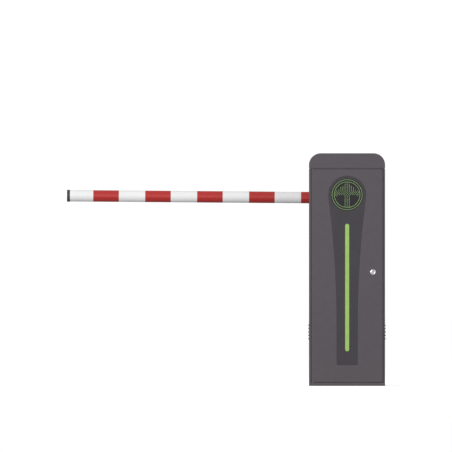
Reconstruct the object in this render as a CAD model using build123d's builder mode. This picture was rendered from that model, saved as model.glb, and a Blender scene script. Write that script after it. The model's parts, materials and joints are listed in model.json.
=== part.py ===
"""Parking barrier gate: a floor-standing cabinet with a lift-off lid and a hinged door, the lifting machine
inside it, and a round boom carried behind the cabinet.

Frame: millimetres, +Z up, origin at the centre of the cabinet's footprint on the floor. The door faces -Y, the
boom lies behind the cabinet (+Y side) and points to -X. Everything is drawn with the boom down, the door shut
and the lid on.
"""
import os
from math import acos, atan, cos, pi, radians, sin, tan

from build123d import *

os.makedirs("parts", exist_ok=True)

# ---------------------------------------------------------------------------------------------------------------
# Driving dimensions
# ---------------------------------------------------------------------------------------------------------------
# Cabinet
cabinet_width = 330.0
cabinet_depth = 290.0
cabinet_height = 1012.0
sheet = 2.0  # wall of the shell, lid and door
lid_height = 64.0
lid_corner_radius = 50.0
lid_edge_radius = 4.0
seam_height = 3.5  # shadow gap between the shell and the lid
seam_inset = 1.5  # of the top frame's edge behind the walls
base_height = 15.0
base_bar = 24.0  # width of the flat bars around the base
base_plate = 5.0
anchor_inset = 50.0  # from the base's edges to the anchor holes
anchor_hole_radius = 7.0
cable_entry_x = 160.0
cable_entry_y = 100.0
cable_entry_forward = 45.0  # from the middle of the base towards the door

# Louvers on both side walls
louver_count = 5
louver_pitch = 14.6
louver_middle_height = 235.0
louver_length = 120.0
louver_stand_out = 4.2
louver_sheet = 1.4  # of the hood and of the cheeks that close its ends
louver_slot_height = 5.0

# Door
side_return = 7.4  # visible front flange of the shell on each side of the door
door_gap = 1.3
door_depth = 14.0
door_edge_radius = 4.0
door_lip = 14.0
jamb_depth = 23.0
door_stop_width = 12.6
pivot_inset_x = 15.0  # from the cabinet's side
pivot_inset_y = 6.0  # from the cabinet's front
pivot_pin_radius = 3.0
seal_width = 6.0
seal_gap = 0.8  # between the seal and the stop frame, so that the hinge side can swing past it

# Fascia, display and light strip
fascia_head_radius = 82.2
fascia_head_below_top = 180.4
fascia_foot_half_width = 45.3
fascia_foot_height = 91.0
fascia_waist_height = 265.7  # where the curved sides become upright
fascia_flange = 8.0
fascia_gap = 0.3
strip_width = 17.3
strip_bottom = 150.3
strip_below_head = 126.4  # from the middle of the head down to the strip's upper end
window_radius = 70.0
ring_radii = (65.2, 55.7)
ring_stroke = 4.0
arrow_columns = 11
arrow_pitch = 9.2
arrow_column_width = 3.0
arrow_column_drop = 7.2  # each column is this much shorter than its inner neighbour
arrow_rise = 52.9  # the arrow's tip above the middle of the head
arrow_head_drop = 2.1  # the underside of the arrow's head below that middle
arrow_stem_drop = 52.6

light_board_thickness = 1.6

# Lock
lock_inset = 44.0  # from the door's edge
lock_z = 494.5
lock_bezel_radius = 12.5
lock_barrel_radius = 9.0
lock_plug_radius = 6.0
lock_cam_length = 42.0
lock_cam_width = 14.0
lock_cam_thickness = 3.0
lock_nut_radius = 12.5
lock_nut_thickness = 5.0

# Machine frame
plate_side_room = 30.0  # from the rocker's pins to the plates' edges
plate_thickness = 6.0
plate_below_shell = 39.5
front_plate_y = 18.0  # front face of the front plate
plate_gap = 80.0  # clear space between the plates
foot_width = 18.0
foot_length = 36.0
tie_radius = 8.0
tie_inset = 12.0
tie_top_inset = 25.0

# Shaft and linkage
shaft_below_top = 193.8
shaft_radius = 15.0
shaft_flange_radius = 45.0
shaft_flange_thickness = 8.0
flange_standoff = 12.0  # from the cabinet's back to the flange
back_hole_radius = 40.0
shaft_cover_radius = 52.0
shaft_cover_thickness = 5.0
bearing_thickness = 16.0
limit_disc_radius = 42.0
limit_notch = 12.0
limit_disc_thickness = 4.0
stop_drop = 52.0  # from the main shaft down to the rubber stop
lever_radius = 70.0
lever_width = 36.0
lever_hub_radius = 27.0
lever_thickness = 12.0
boom_travel = 89.5  # degrees
crank_drop = 258.2  # from the main shaft down to the output shaft
crank_hub_radius = 22.0
output_shaft_radius = 10.0
link_pin_radius = 6.0
rod_eye_radius = 16.0
rod_thickness = 12.0

# Gears
gear_module = 1.5
wheel_teeth = 72
pinion_teeth = 12
pressure_angle = 25.0
gear_backlash = 0.25
output_gear_width = 16.0
first_gear_width = 14.0
gear_side_gap = 4.0
gearbox_wall = 10.0
gearbox_end = 6.0
countershaft_radius = 6.0
motor_shaft_radius = 5.0

# Motor
motor_radius = 38.0
motor_length = 66.0
motor_wall = 5.0
rotor_radius = 26.0
hand_wheel_radius = 34.0
hand_wheel_thickness = 7.0

# Balance springs
spring_radius = 12.0
spring_wall = 4.0
spring_offset = 20.0  # each side of the rocker's middle plane
spring_foot_drop = 273.2  # from the main shaft down to the springs' lower eyes
cross_pin_radius = 5.0
spring_eye_thickness = 8.0

# Electrical pieces on the front plate
breaker_x = -60.0
breaker_size = (36.0, 84.0)
breaker_depths = (44.0, 16.0)  # of the body and of the step in front of it
terminal_count = 8
terminal_pitch = 8.4
terminal_size = (8.0, 56.0)
terminal_depths = (26.0, 14.0)
first_terminal_x = -20.0
button_travel = 1.5
control_box_size = (170.0, 70.0, 120.0)
control_box_drop = 118.2  # from the main shaft down to the middle of the control box
button_radius = 11.0
button_spacing = 45.0
power_supply_size = (160.0, 42.0, 98.0)
power_supply_above_base = 17.0
rail_drop = 478.2  # from the main shaft down to the mounting rail
rail_length = 170.0
rail_width = 35.0
rail_depth = 7.5

# Boom
boom_radius = 25.0
boom_wall = 2.0
boom_reach = 1221.5  # from the shaft to the tip of the end cap
boom_root = 62.0  # from the shaft to the inner end of the tube
boom_tilt = 0.442  # degrees, tip up
end_cap_length = 12.5
end_cap_rim = 1.25
holder_thickness = 8.0
holder_left = 90.0
holder_right = 72.0
holder_edge = 6.0  # that the plate stands out beyond the clamps
clamp_places = (-62.0, 45.0)
clamp_width = 30.0
clamp_bolt_edge = 11.0  # from the tube's wall to a clamp bolt
clamp_end_edge = 10.0  # from a clamp bolt to the clamp's end
clamp_wall = 3.0
band_length = 111.5
band_pitch = 226.8
band_start = 114.9
band_count = 5
band_thickness = 0.3

# Clearances
running_gap = 0.05  # a shaft that turns in its bore, on the radius
seat_gap = 0.02  # a piece fixed on a shaft, on the radius
bolt_gap = 0.2  # a bolt in its hole, on the radius
rattle_gap = 0.3  # loose neighbours
bolt_radius = 4.0
bolt_head_share = 1.8  # a bolt's head across its corners, as a share of the bolt
bolt_head_height = 5.0
cover_bolt_radius = 2.5

# ---------------------------------------------------------------------------------------------------------------
# Places worked out from the driving dimensions
# ---------------------------------------------------------------------------------------------------------------
half_width = cabinet_width / 2
half_depth = cabinet_depth / 2
front = -half_depth
back = half_depth
lid_bottom = cabinet_height - lid_height
shell_top = lid_bottom - seam_height
shaft_height = cabinet_height - shaft_below_top
anchor_spacing_x = cabinet_width - 2 * anchor_inset
anchor_spacing_y = cabinet_depth - 2 * anchor_inset
door_half_width = half_width - side_return - door_gap
door_bottom = base_height + 2.0
door_top = shell_top - 1.5
door_back = front + door_depth
stop_back = front + jamb_depth
stop_front = stop_back - sheet
pivot_x = -half_width + pivot_inset_x
pivot_y = front + pivot_inset_y
lock_x = door_half_width - lock_inset
fascia_head_height = cabinet_height - fascia_head_below_top
strip_top = fascia_head_height - strip_below_head
arrow_top = fascia_head_height + arrow_rise
arrow_head_bottom = fascia_head_height - arrow_head_drop
arrow_stem_bottom = fascia_head_height - arrow_stem_drop

plate_half_width = lever_radius + plate_side_room
plate_top = shell_top - plate_below_shell
tie_heights = (60.0, 300.0, shaft_height - 178.2, plate_top - tie_top_inset)
rear_plate_y = front_plate_y + plate_thickness + plate_gap
plate_inside = front_plate_y + plate_thickness
lever_front = plate_inside + (plate_gap - lever_thickness) / 2 - 6.0
lever_back = lever_front + lever_thickness
lever_middle = (lever_front + lever_back) / 2
rod_front = lever_back + 0.5
rod_back = rod_front + rod_thickness
lever_angle = boom_travel / 2  # above the horizontal with the boom down, below it with the boom up
lever_x = lever_radius * cos(radians(lever_angle))
lever_z = lever_radius * sin(radians(lever_angle))
output_height = shaft_height - crank_drop
spring_foot_height = shaft_height - spring_foot_drop
control_box_middle = shaft_height - control_box_drop
end_cap_radius = boom_radius + end_cap_rim

gear_distance = gear_module * (wheel_teeth + pinion_teeth) / 2
countershaft_height = output_height - gear_distance
motor_height = countershaft_height - gear_distance
wheel_tip_radius = gear_module * wheel_teeth / 2 + 0.9 * gear_module
gearbox_back = front_plate_y
output_gear_back = gearbox_back - gearbox_end - 6.0
output_gear_front = output_gear_back - output_gear_width
first_gear_back = output_gear_front - gear_side_gap
first_gear_front = first_gear_back - first_gear_width
gearbox_front = first_gear_front - 5.0
cover_front = gearbox_front - gearbox_end
motor_front = cover_front - motor_length
hand_wheel_back = motor_front - 2.0
hand_wheel_front = hand_wheel_back - hand_wheel_thickness

flange_front = back + flange_standoff
flange_back = flange_front + shaft_flange_thickness
holder_back = flange_back + holder_thickness
boom_y = holder_back + clamp_wall + boom_radius
rear_bearing_front = rear_plate_y + plate_thickness
bearing_flange_half = shaft_radius + 27.0
bearing_bolt_offset = shaft_radius + 17.0
bearing_nose_radius = shaft_radius + 15.0
shaft_front = front_plate_y - bearing_thickness - 12.0
rail_height = shaft_height - rail_drop
power_supply_middle = base_plate + power_supply_above_base + power_supply_size[2] / 2
clamp_bolt_offset = boom_radius + clamp_bolt_edge
clamp_half_height = clamp_bolt_offset + clamp_end_edge
holder_half_height = clamp_half_height + holder_edge


# ---------------------------------------------------------------------------------------------------------------
# Helpers
# ---------------------------------------------------------------------------------------------------------------
def facing(y):
    """Upright plane at depth y that faces the front: its x is X, its y is Z, and it extrudes towards -Y."""
    return Plane(origin=(0, y, 0), x_dir=(1, 0, 0), z_dir=(0, -1, 0))


def boom_face(y):
    """Like facing(), but centred on the shaft and turned with the boom's small tilt."""
    tilt = radians(boom_tilt)
    return Plane(origin=(0, y, shaft_height), x_dir=(cos(tilt), 0, -sin(tilt)), z_dir=(0, -1, 0))


def across_boom(distance):
    """Plane across the boom, at a distance from the shaft along the boom; it extrudes towards the root."""
    tilt = radians(boom_tilt)
    return Plane(
        origin=(distance * cos(tilt), boom_y, shaft_height - distance * sin(tilt)),
        x_dir=(0, 1, 0),
        z_dir=(cos(tilt), 0, -sin(tilt)),
    )


def write(piece, name):
    """Labels a finished piece and writes its STEP file."""
    piece.part.label = name
    export_step(piece.part, f"parts/{name}.step")


def involute(angle):
    return tan(angle) - angle


def gear_points(teeth, first_tooth, centre):
    """Outline of a spur gear with involute flanks; first_tooth is the angle in degrees of one tooth's middle."""
    pitch_radius = gear_module * teeth / 2
    base_radius = pitch_radius * cos(radians(pressure_angle))
    root_radius = pitch_radius - 1.15 * gear_module
    tip_radius = pitch_radius + 0.9 * gear_module
    flank_start = max(root_radius, base_radius)
    half_tooth = pi / (2 * teeth) - gear_backlash / (2 * pitch_radius) + involute(radians(pressure_angle))
    flank = []
    for step in range(4):
        radius = flank_start + (tip_radius - flank_start) * step / 3
        flank.append((radius, half_tooth - involute(acos(min(1.0, base_radius / radius)))))
    if root_radius < flank_start:
        flank.insert(0, (root_radius, flank[0][1]))
    points = []
    for tooth in range(teeth):
        middle = radians(first_tooth) + 2 * pi * tooth / teeth
        for radius, half_angle in flank:
            points.append((radius, middle - half_angle))
        for radius, half_angle in reversed(flank):
            points.append((radius, middle + half_angle))
    return [(centre[0] + radius * cos(angle), centre[1] + radius * sin(angle)) for radius, angle in points]


def fascia_face(grow):
    """The fascia's keyhole: a round head whose flanks run down in long hollow curves to a square foot."""
    head = fascia_head_radius + grow
    half = fascia_foot_half_width + grow
    drop = fascia_head_height - fascia_waist_height
    flank_radius = (drop**2 - (head**2 - half**2)) / (2 * (head - half))
    centre_x = half + flank_radius
    # the flank's arc touches the head's circle on the line between their centres
    share = head / (head + flank_radius)
    touch = (centre_x * share, fascia_head_height - drop * share)
    middle_angle = (pi + (pi - atan(drop / centre_x))) / 2
    middle = (
        centre_x + flank_radius * cos(middle_angle),
        fascia_waist_height + flank_radius * sin(middle_angle),
    )
    waist = (half, fascia_waist_height)
    foot = (half, fascia_foot_height - grow)
    top = (0, fascia_head_height + head)
    with BuildSketch() as keyhole:
        with BuildLine():
            ThreePointArc((-touch[0], touch[1]), top, touch)
            ThreePointArc(touch, middle, waist)
            Polyline(waist, foot, (-foot[0], foot[1]), (-waist[0], waist[1]))
            ThreePointArc((-waist[0], waist[1]), (-middle[0], middle[1]), (-touch[0], touch[1]))
        make_face()
    return keyhole.sketch


# ---------------------------------------------------------------------------------------------------------------
# Cabinet
# ---------------------------------------------------------------------------------------------------------------
foot_x = plate_half_width - foot_width / 2
foot_places = [
    (side * foot_x, y)
    for side in (-1, 1)
    for y in (plate_inside + foot_length / 2, rear_plate_y - foot_length / 2)
]

# Welded frame of flat bars around a plate, with anchor holes and an opening for the cables
with BuildPart() as base_frame:
    with BuildSketch(Plane.XY):
        Rectangle(cabinet_width, cabinet_depth)
        Rectangle(cabinet_width - 2 * base_bar, cabinet_depth - 2 * base_bar, mode=Mode.SUBTRACT)
    extrude(amount=base_height)
    with BuildSketch(Plane.XY):
        Rectangle(cabinet_width - 2 * base_bar, cabinet_depth - 2 * base_bar)
        with Locations((0, -cable_entry_forward)):
            RectangleRounded(cable_entry_x, cable_entry_y, 10, mode=Mode.SUBTRACT)
        with GridLocations(anchor_spacing_x, anchor_spacing_y, 2, 2):
            Circle(anchor_hole_radius, mode=Mode.SUBTRACT)
        with Locations(*foot_places):
            Circle(bolt_radius + bolt_gap, mode=Mode.SUBTRACT)
    extrude(amount=base_plate)
    with BuildSketch(Plane.XY.offset(base_height)):
        with Locations((pivot_x, pivot_y)):
            Circle(pivot_pin_radius + seat_gap)
    extrude(amount=-base_height / 2, mode=Mode.SUBTRACT)
write(base_frame, "base_frame")

# Folded shell: back, sides, narrow front returns with jambs, and a flange for the top frame
with BuildPart() as cabinet_shell:
    with BuildSketch(Plane.XY.offset(base_height)):
        Rectangle(cabinet_width, cabinet_depth)
        Rectangle(cabinet_width - 2 * sheet, cabinet_depth - 2 * sheet, mode=Mode.SUBTRACT)
        with Locations((0, front + sheet / 2)):
            Rectangle(cabinet_width - 2 * side_return, sheet, mode=Mode.SUBTRACT)
        for side in (-1, 1):
            with Locations((side * (half_width - side_return - sheet / 2 + sheet), front + jamb_depth / 2)):
                Rectangle(sheet, jamb_depth)
    extrude(amount=shell_top - base_height)
    fillet(
        cabinet_shell.edges().filter_by(Axis.Z).filter_by(
            lambda e: abs(abs(e.center().X) - half_width) < 0.01 and abs(abs(e.center().Y) - half_depth) < 0.01
        ),
        sheet * 0.75,
    )
    with BuildSketch(Plane.XY.offset(shell_top - sheet)):
        with Locations((0, half_depth - sheet - 8)):
            Rectangle(cabinet_width - 2 * sheet, 16)
        for side in (-1, 1):
            with Locations((side * (half_width - sheet - 8), 8)):
                Rectangle(16, cabinet_depth - 2 * sheet - 16)
    extrude(amount=sheet)
    # hole in the back for the shaft
    with BuildSketch(facing(back + 1)):
        with Locations((0, shaft_height)):
            Circle(back_hole_radius)
    extrude(amount=sheet + 2, mode=Mode.SUBTRACT)
    # louvers: a slot in the wall under each slanted hood
    for side in (-1, 1):
        for number in range(louver_count):
            height = louver_middle_height + (number - (louver_count - 1) / 2) * louver_pitch
            with BuildSketch(facing(louver_length / 2 - louver_sheet)):
                with Locations((side * (half_width - sheet / 2), height - louver_slot_height / 2 + 1)):
                    Rectangle(sheet + 1, louver_slot_height)
            extrude(amount=louver_length - 2 * louver_sheet, mode=Mode.SUBTRACT)
            with BuildSketch(facing(louver_length / 2)):
                with BuildLine():
                    Polyline(
                        (side * half_width, height + 5),
                        (side * (half_width + louver_stand_out), height - 3),
                        (side * (half_width + louver_stand_out - louver_sheet), height - 3.6),
                        (side * half_width, height + 1.4),
                        close=True,
                    )
                make_face()
            extrude(amount=louver_length)
            # cheeks that close both ends of the hood and reach just below the slot
            for end in (louver_length / 2, louver_sheet - louver_length / 2):
                with BuildSketch(facing(end)):
                    with BuildLine():
                        Polyline(
                            (side * half_width, height + 5),
                            (side * (half_width + louver_stand_out), height - 3),
                            (side * (half_width + louver_stand_out - louver_sheet), height - 3.6),
                            (side * half_width, height - 5),
                            close=True,
                        )
                    make_face()
                extrude(amount=louver_sheet)
write(cabinet_shell, "cabinet_shell")

# Flat frame behind the door that the seal presses on
stop_outer = half_width - side_return
stop_bottom = base_height + 4
stop_top = shell_top - 3.5
with BuildPart() as door_frame:
    with BuildSketch(facing(stop_back)):
        with Locations((0, (stop_bottom + stop_top) / 2)):
            Rectangle(2 * stop_outer, stop_top - stop_bottom)
            Rectangle(
                2 * (stop_outer - door_stop_width),
                stop_top - stop_bottom - 2 * door_stop_width,
                mode=Mode.SUBTRACT,
            )
    extrude(amount=sheet)
write(door_frame, "door_frame")

# Top frame: closes the shell, carries the upper hinge pin and locates the lid
with BuildPart() as top_frame:
    with BuildSketch(Plane.XY.offset(shell_top)):
        Rectangle(cabinet_width - 2 * seam_inset, cabinet_depth - 2 * seam_inset)
        with Locations((pivot_x, front + 3)):
            Rectangle(16, 4)
        with Locations((0, 5)):
            Rectangle(cabinet_width - 50, cabinet_depth - 56, mode=Mode.SUBTRACT)
        with Locations((pivot_x, pivot_y)):
            Circle(pivot_pin_radius + seat_gap, mode=Mode.SUBTRACT)
    extrude(amount=seam_height)
    with BuildSketch(Plane.XY.offset(lid_bottom)):
        Rectangle(cabinet_width - 16, cabinet_depth - 22)
        Rectangle(cabinet_width - 20, cabinet_depth - 26, mode=Mode.SUBTRACT)
    extrude(amount=12)
write(top_frame, "top_frame")

# Lift-off lid with large rounded upper corners
with BuildPart() as top_lid:
    with BuildSketch(facing(back)):
        with Locations((0, lid_bottom + lid_height / 2)):
            Rectangle(cabinet_width, lid_height)
    extrude(amount=cabinet_depth)
    fillet(
        top_lid.edges().filter_by(Axis.Y).filter_by(lambda e: e.center().Z > cabinet_height - 1),
        lid_corner_radius,
    )
    fillet(
        top_lid.faces().filter_by(Axis.Y).edges().filter_by(lambda e: e.center().Z > lid_bottom + 1),
        lid_edge_radius,
    )
    offset(amount=-sheet, openings=top_lid.faces().sort_by(Axis.Z)[0])
write(top_lid, "top_lid")

# Two hinge pins, in the base frame and in the top frame
with BuildPart() as door_hinge_pins:
    with BuildSketch(Plane.XY.offset(base_height / 2 + 0.5)):
        with Locations((pivot_x, pivot_y)):
            Circle(pivot_pin_radius)
    extrude(amount=door_bottom - base_height / 2 + 6)
    with BuildSketch(Plane.XY.offset(door_top - 7)):
        with Locations((pivot_x, pivot_y)):
            Circle(pivot_pin_radius)
    extrude(amount=lid_bottom - door_top + 8)
write(door_hinge_pins, "door_hinge_pins")

# ---------------------------------------------------------------------------------------------------------------
# Door, fascia and lock
# ---------------------------------------------------------------------------------------------------------------
# Pan-shaped door: front sheet, four returns and a lip behind for the seal
door_middle = (door_bottom + door_top) / 2
door_height = door_top - door_bottom
with BuildPart() as front_door:
    with BuildSketch(facing(door_back)):
        with Locations((0, door_middle)):
            Rectangle(2 * door_half_width, door_height)
    extrude(amount=door_depth)
    fillet(
        front_door.edges().filter_by(Axis.Z).filter_by(lambda e: e.center().Y < front + 1),
        door_edge_radius,
    )
    with BuildSketch(facing(door_back - sheet)):
        with Locations((0, door_middle)):
            Rectangle(2 * (door_half_width - sheet), door_height - 2 * sheet)
    extrude(amount=door_depth - 2 * sheet, mode=Mode.SUBTRACT)
    with BuildSketch(facing(door_back)):
        with Locations((0, door_middle)):
            Rectangle(2 * (door_half_width - door_lip), door_height - 2 * door_lip)
    extrude(amount=sheet, mode=Mode.SUBTRACT)
    with BuildSketch(facing(front + sheet)):
        add(fascia_face(fascia_gap))
        with Locations((lock_x, lock_z)):
            Circle(lock_barrel_radius + bolt_gap)
    extrude(amount=2 * sheet, both=True, mode=Mode.SUBTRACT)
    with BuildSketch(Plane.XY.offset(door_bottom - 1)):
        with Locations((pivot_x, pivot_y)):
            Circle(pivot_pin_radius + running_gap)
    extrude(amount=door_height + 2, mode=Mode.SUBTRACT)
write(front_door, "front_door")

# Rubber seal on the door's lip
seal_middle = door_half_width - door_lip / 2 + 1
with BuildPart() as door_seal:
    with BuildSketch(facing(stop_front - seal_gap)):
        with Locations((0, door_middle)):
            Rectangle(2 * seal_middle + seal_width, door_height - door_lip + seal_width - 2)
            Rectangle(
                2 * seal_middle - seal_width, door_height - door_lip - seal_width - 2, mode=Mode.SUBTRACT
            )
    extrude(amount=stop_front - seal_gap - door_back)
write(door_seal, "door_seal")

# Dark fascia: a keyhole plate flush with the door, with a flange behind the sheet
strip_middle = (strip_bottom + strip_top) / 2
strip_length = strip_top - strip_bottom
fascia_back = front + 2 * sheet
with BuildPart() as fascia_panel:
    with BuildSketch(facing(fascia_back)):
        add(fascia_face(0))
    extrude(amount=2 * sheet)
    with BuildSketch(facing(fascia_back)):
        add(fascia_face(fascia_flange))
    extrude(amount=sheet)
    with BuildSketch(facing(fascia_back + 1)):
        with Locations((0, strip_middle)):
            SlotOverall(strip_length + 2 * fascia_gap, strip_width + 2 * fascia_gap, rotation=90)
        with Locations((0, fascia_head_height)):
            Circle(window_radius + fascia_gap)
    extrude(amount=2 * sheet + 2, mode=Mode.SUBTRACT)
write(fascia_panel, "fascia_panel")

# Diffuser of the light strip, slightly proud of the fascia
with BuildPart() as light_strip_lens:
    with BuildSketch(facing(fascia_back)):
        with Locations((0, strip_middle)):
            SlotOverall(strip_length, strip_width, rotation=90)
    extrude(amount=2 * sheet + 0.8)
    with BuildSketch(facing(fascia_back + 1.5)):
        with Locations((0, strip_middle)):
            SlotOverall(strip_length + 8, strip_width + 8, rotation=90)
    extrude(amount=1.5)
write(light_strip_lens, "light_strip_lens")

# Round tinted window over the display
with BuildPart() as display_window:
    with BuildSketch(facing(fascia_back)):
        with Locations((0, fascia_head_height)):
            Circle(window_radius)
    extrude(amount=2 * sheet + 0.2)
    with BuildSketch(facing(fascia_back + 1.5)):
        with Locations((0, fascia_head_height)):
            Circle(window_radius + 4)
    extrude(amount=1.5)
write(display_window, "display_window")

# Light guides of the display: two rings and an upward arrow made of upright columns
window_face = front - 0.2
guide_height = 0.5
with BuildPart() as display_rings:
    with BuildSketch(facing(window_face)):
        with Locations((0, fascia_head_height)):
            for radius in ring_radii:
                Circle(radius + ring_stroke / 2)
                Circle(radius - ring_stroke / 2, mode=Mode.SUBTRACT)
    extrude(amount=guide_height)
write(display_rings, "display_rings")

with BuildPart() as display_arrow:
    with BuildSketch(facing(window_face)):
        for column in range(arrow_columns):
            from_middle = column - (arrow_columns - 1) / 2
            column_top = arrow_top - arrow_column_drop * abs(from_middle)
            column_bottom = arrow_stem_bottom if abs(from_middle) < 2 else arrow_head_bottom
            with Locations((from_middle * arrow_pitch, (column_top + column_bottom) / 2)):
                Rectangle(arrow_column_width, column_top - column_bottom)
    extrude(amount=guide_height)
write(display_arrow, "display_arrow")

# Circuit boards behind the display and behind the light strip
board_back = fascia_back + 1.5 + 3.1
with BuildPart() as led_boards:
    with BuildSketch(facing(board_back)):
        with Locations((0, fascia_head_height)):
            Circle(window_radius - 4)
        with Locations((0, strip_middle)):
            Rectangle(strip_width - 2, strip_length - 20)
    extrude(amount=light_board_thickness)
    with BuildSketch(facing(board_back)):
        with Locations((0, (strip_top + fascia_head_height - window_radius) / 2)):
            Rectangle(strip_width - 2, 40)
    extrude(amount=light_board_thickness)
write(led_boards, "led_boards")

# Cam lock: body with bezel, hexagon nut behind the sheet, turning plug and cam
lock_body_back = front + jamb_depth - 1.0
cam_front = stop_back + 0.4
with BuildPart() as lock_body:
    with BuildSketch(facing(front)):
        with Locations((lock_x, lock_z)):
            Circle(lock_bezel_radius)
    extrude(amount=3.5)
    fillet(lock_body.edges().sort_by(Axis.Y)[0], 1.5)
    with BuildSketch(facing(lock_body_back)):
        with Locations((lock_x, lock_z)):
            Circle(lock_barrel_radius)
    extrude(amount=lock_body_back - front)
    with BuildSketch(facing(lock_body_back + 1)):
        with Locations((lock_x, lock_z)):
            Circle(lock_plug_radius + running_gap)
    extrude(amount=lock_body_back - front + 8, mode=Mode.SUBTRACT)
write(lock_body, "lock_body")

with BuildPart() as lock_nut:
    with BuildSketch(facing(front + sheet + lock_nut_thickness)):
        with Locations((lock_x, lock_z)):
            RegularPolygon(lock_nut_radius, 6)
            Circle(lock_barrel_radius + seat_gap, mode=Mode.SUBTRACT)
    extrude(amount=lock_nut_thickness)
write(lock_nut, "lock_nut")

with BuildPart() as lock_plug:
    with BuildSketch(facing(cam_front + lock_cam_thickness + 1)):
        with Locations((lock_x, lock_z)):
            Circle(lock_plug_radius)
    extrude(amount=cam_front + lock_cam_thickness + 1 - front + 2.8)
    with BuildSketch(facing(front - 1)):
        with Locations((lock_x, lock_z)):
            Rectangle(1.6, 8)
    extrude(amount=8, mode=Mode.SUBTRACT)
write(lock_plug, "lock_plug")

with BuildPart() as lock_cam:
    with BuildSketch(facing(cam_front + lock_cam_thickness)):
        with Locations((lock_x, lock_z)):
            Circle(lock_cam_width / 2 + 2)
        with Locations((lock_x, lock_z + lock_cam_length / 2)):
            Rectangle(lock_cam_width, lock_cam_length)
        with Locations((lock_x, lock_z)):
            Circle(lock_plug_radius + seat_gap, mode=Mode.SUBTRACT)
    extrude(amount=lock_cam_thickness)
write(lock_cam, "lock_cam")

# ---------------------------------------------------------------------------------------------------------------
# Machine frame and bearings
# ---------------------------------------------------------------------------------------------------------------
bearing_bolts = [
    (x, shaft_height + z)
    for x in (-bearing_bolt_offset, bearing_bolt_offset)
    for z in (-bearing_bolt_offset, bearing_bolt_offset)
]
tie_x = plate_half_width - tie_inset


def frame_plate(y, foot_side, shaft_hole_heights):
    """Upright plate with its front face at y and two feet; foot_side is +1 for feet behind it, -1 in front."""
    with BuildPart() as plate:
        with BuildSketch(facing(y + plate_thickness)):
            with Locations((0, (base_plate + plate_top) / 2)):
                Rectangle(2 * plate_half_width, plate_top - base_plate)
            for height, radius in shaft_hole_heights:
                with Locations((0, height)):
                    Circle(radius, mode=Mode.SUBTRACT)
            with Locations(*bearing_bolts):
                Circle(bolt_radius + bolt_gap, mode=Mode.SUBTRACT)
        extrude(amount=plate_thickness)
        foot_y = y + plate_thickness / 2 + foot_side * (plate_thickness / 2 + foot_length / 2)
        for side in (-1, 1):
            with BuildSketch(Plane.XY.offset(base_plate)):
                with Locations((side * foot_x, foot_y)):
                    Rectangle(foot_width, foot_length)
                    Circle(bolt_radius + bolt_gap, mode=Mode.SUBTRACT)
            extrude(amount=plate_thickness)
    return plate


front_frame_plate = frame_plate(
    front_plate_y, 1, ((shaft_height, shaft_radius + 4), (output_height, output_shaft_radius + 4))
)
write(front_frame_plate, "front_frame_plate")
rear_frame_plate = frame_plate(rear_plate_y, -1, ((shaft_height, shaft_radius + 4),))
write(rear_frame_plate, "rear_frame_plate")

# Spacers between the plates
with BuildPart() as frame_tie_rods:
    with BuildSketch(facing(rear_plate_y)):
        for height in tie_heights:
            with Locations((-tie_x, height), (tie_x, height)):
                Circle(tie_radius)
    extrude(amount=plate_gap)
write(frame_tie_rods, "frame_tie_rods")

# Flanged bearing housings on the outer faces of the plates
with BuildPart() as bearing_housings:
    for flange_back_y, nose_back_y in (
        (front_plate_y, front_plate_y - 8),
        (rear_bearing_front + 8, rear_bearing_front + bearing_thickness),
    ):
        with BuildSketch(facing(flange_back_y)):
            with Locations((0, shaft_height)):
                RectangleRounded(2 * bearing_flange_half, 2 * bearing_flange_half, 10)
                Circle(shaft_radius + running_gap, mode=Mode.SUBTRACT)
            with Locations(*bearing_bolts):
                Circle(bolt_radius + bolt_gap, mode=Mode.SUBTRACT)
        extrude(amount=8)
        with BuildSketch(facing(nose_back_y)):
            with Locations((0, shaft_height)):
                Circle(bearing_nose_radius)
                Circle(shaft_radius + running_gap, mode=Mode.SUBTRACT)
        extrude(amount=8)
write(bearing_housings, "bearing_housings")

# Bolts of the bearings, the feet and the gearbox cover
gearbox_half_width = wheel_tip_radius + 3 + gearbox_wall
gearbox_bottom = motor_height - 16 - gearbox_wall
gearbox_top = output_height + wheel_tip_radius + 3 + gearbox_wall
cover_bolts = [
    (side * (gearbox_half_width - gearbox_wall / 2), z)
    for side in (-1, 1)
    for z in (gearbox_bottom + 18, (gearbox_bottom + gearbox_top) / 2, gearbox_top - 18)
]
with BuildPart() as machine_bolts:
    for head_back, end_y, places in (
        (front_plate_y - 8, front_plate_y + plate_thickness, bearing_bolts),
        (cover_front, cover_front + 22, cover_bolts),
    ):
        radius = bolt_radius if places is bearing_bolts else cover_bolt_radius
        with BuildSketch(facing(end_y)):
            with Locations(*places):
                Circle(radius)
        extrude(amount=end_y - head_back)
        with BuildSketch(facing(head_back)):
            with Locations(*places):
                RegularPolygon(radius * bolt_head_share, 6)
        extrude(amount=radius * 1.3)
    with BuildSketch(facing(rear_bearing_front + 8)):
        with Locations(*bearing_bolts):
            Circle(bolt_radius)
    extrude(amount=8 + plate_thickness)
    with BuildSketch(facing(rear_bearing_front + 8 + bolt_head_height)):
        with Locations(*bearing_bolts):
            RegularPolygon(bolt_radius * bolt_head_share, 6)
    extrude(amount=bolt_head_height)
    with BuildSketch(Plane.XY.offset(0.5)):
        with Locations(*foot_places):
            Circle(bolt_radius)
    extrude(amount=base_plate + plate_thickness - 0.5)
    with BuildSketch(Plane.XY.offset(base_plate + plate_thickness)):
        with Locations(*foot_places):
            RegularPolygon(bolt_radius * bolt_head_share, 6)
    extrude(amount=bolt_head_height)
write(machine_bolts, "machine_bolts")

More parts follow.
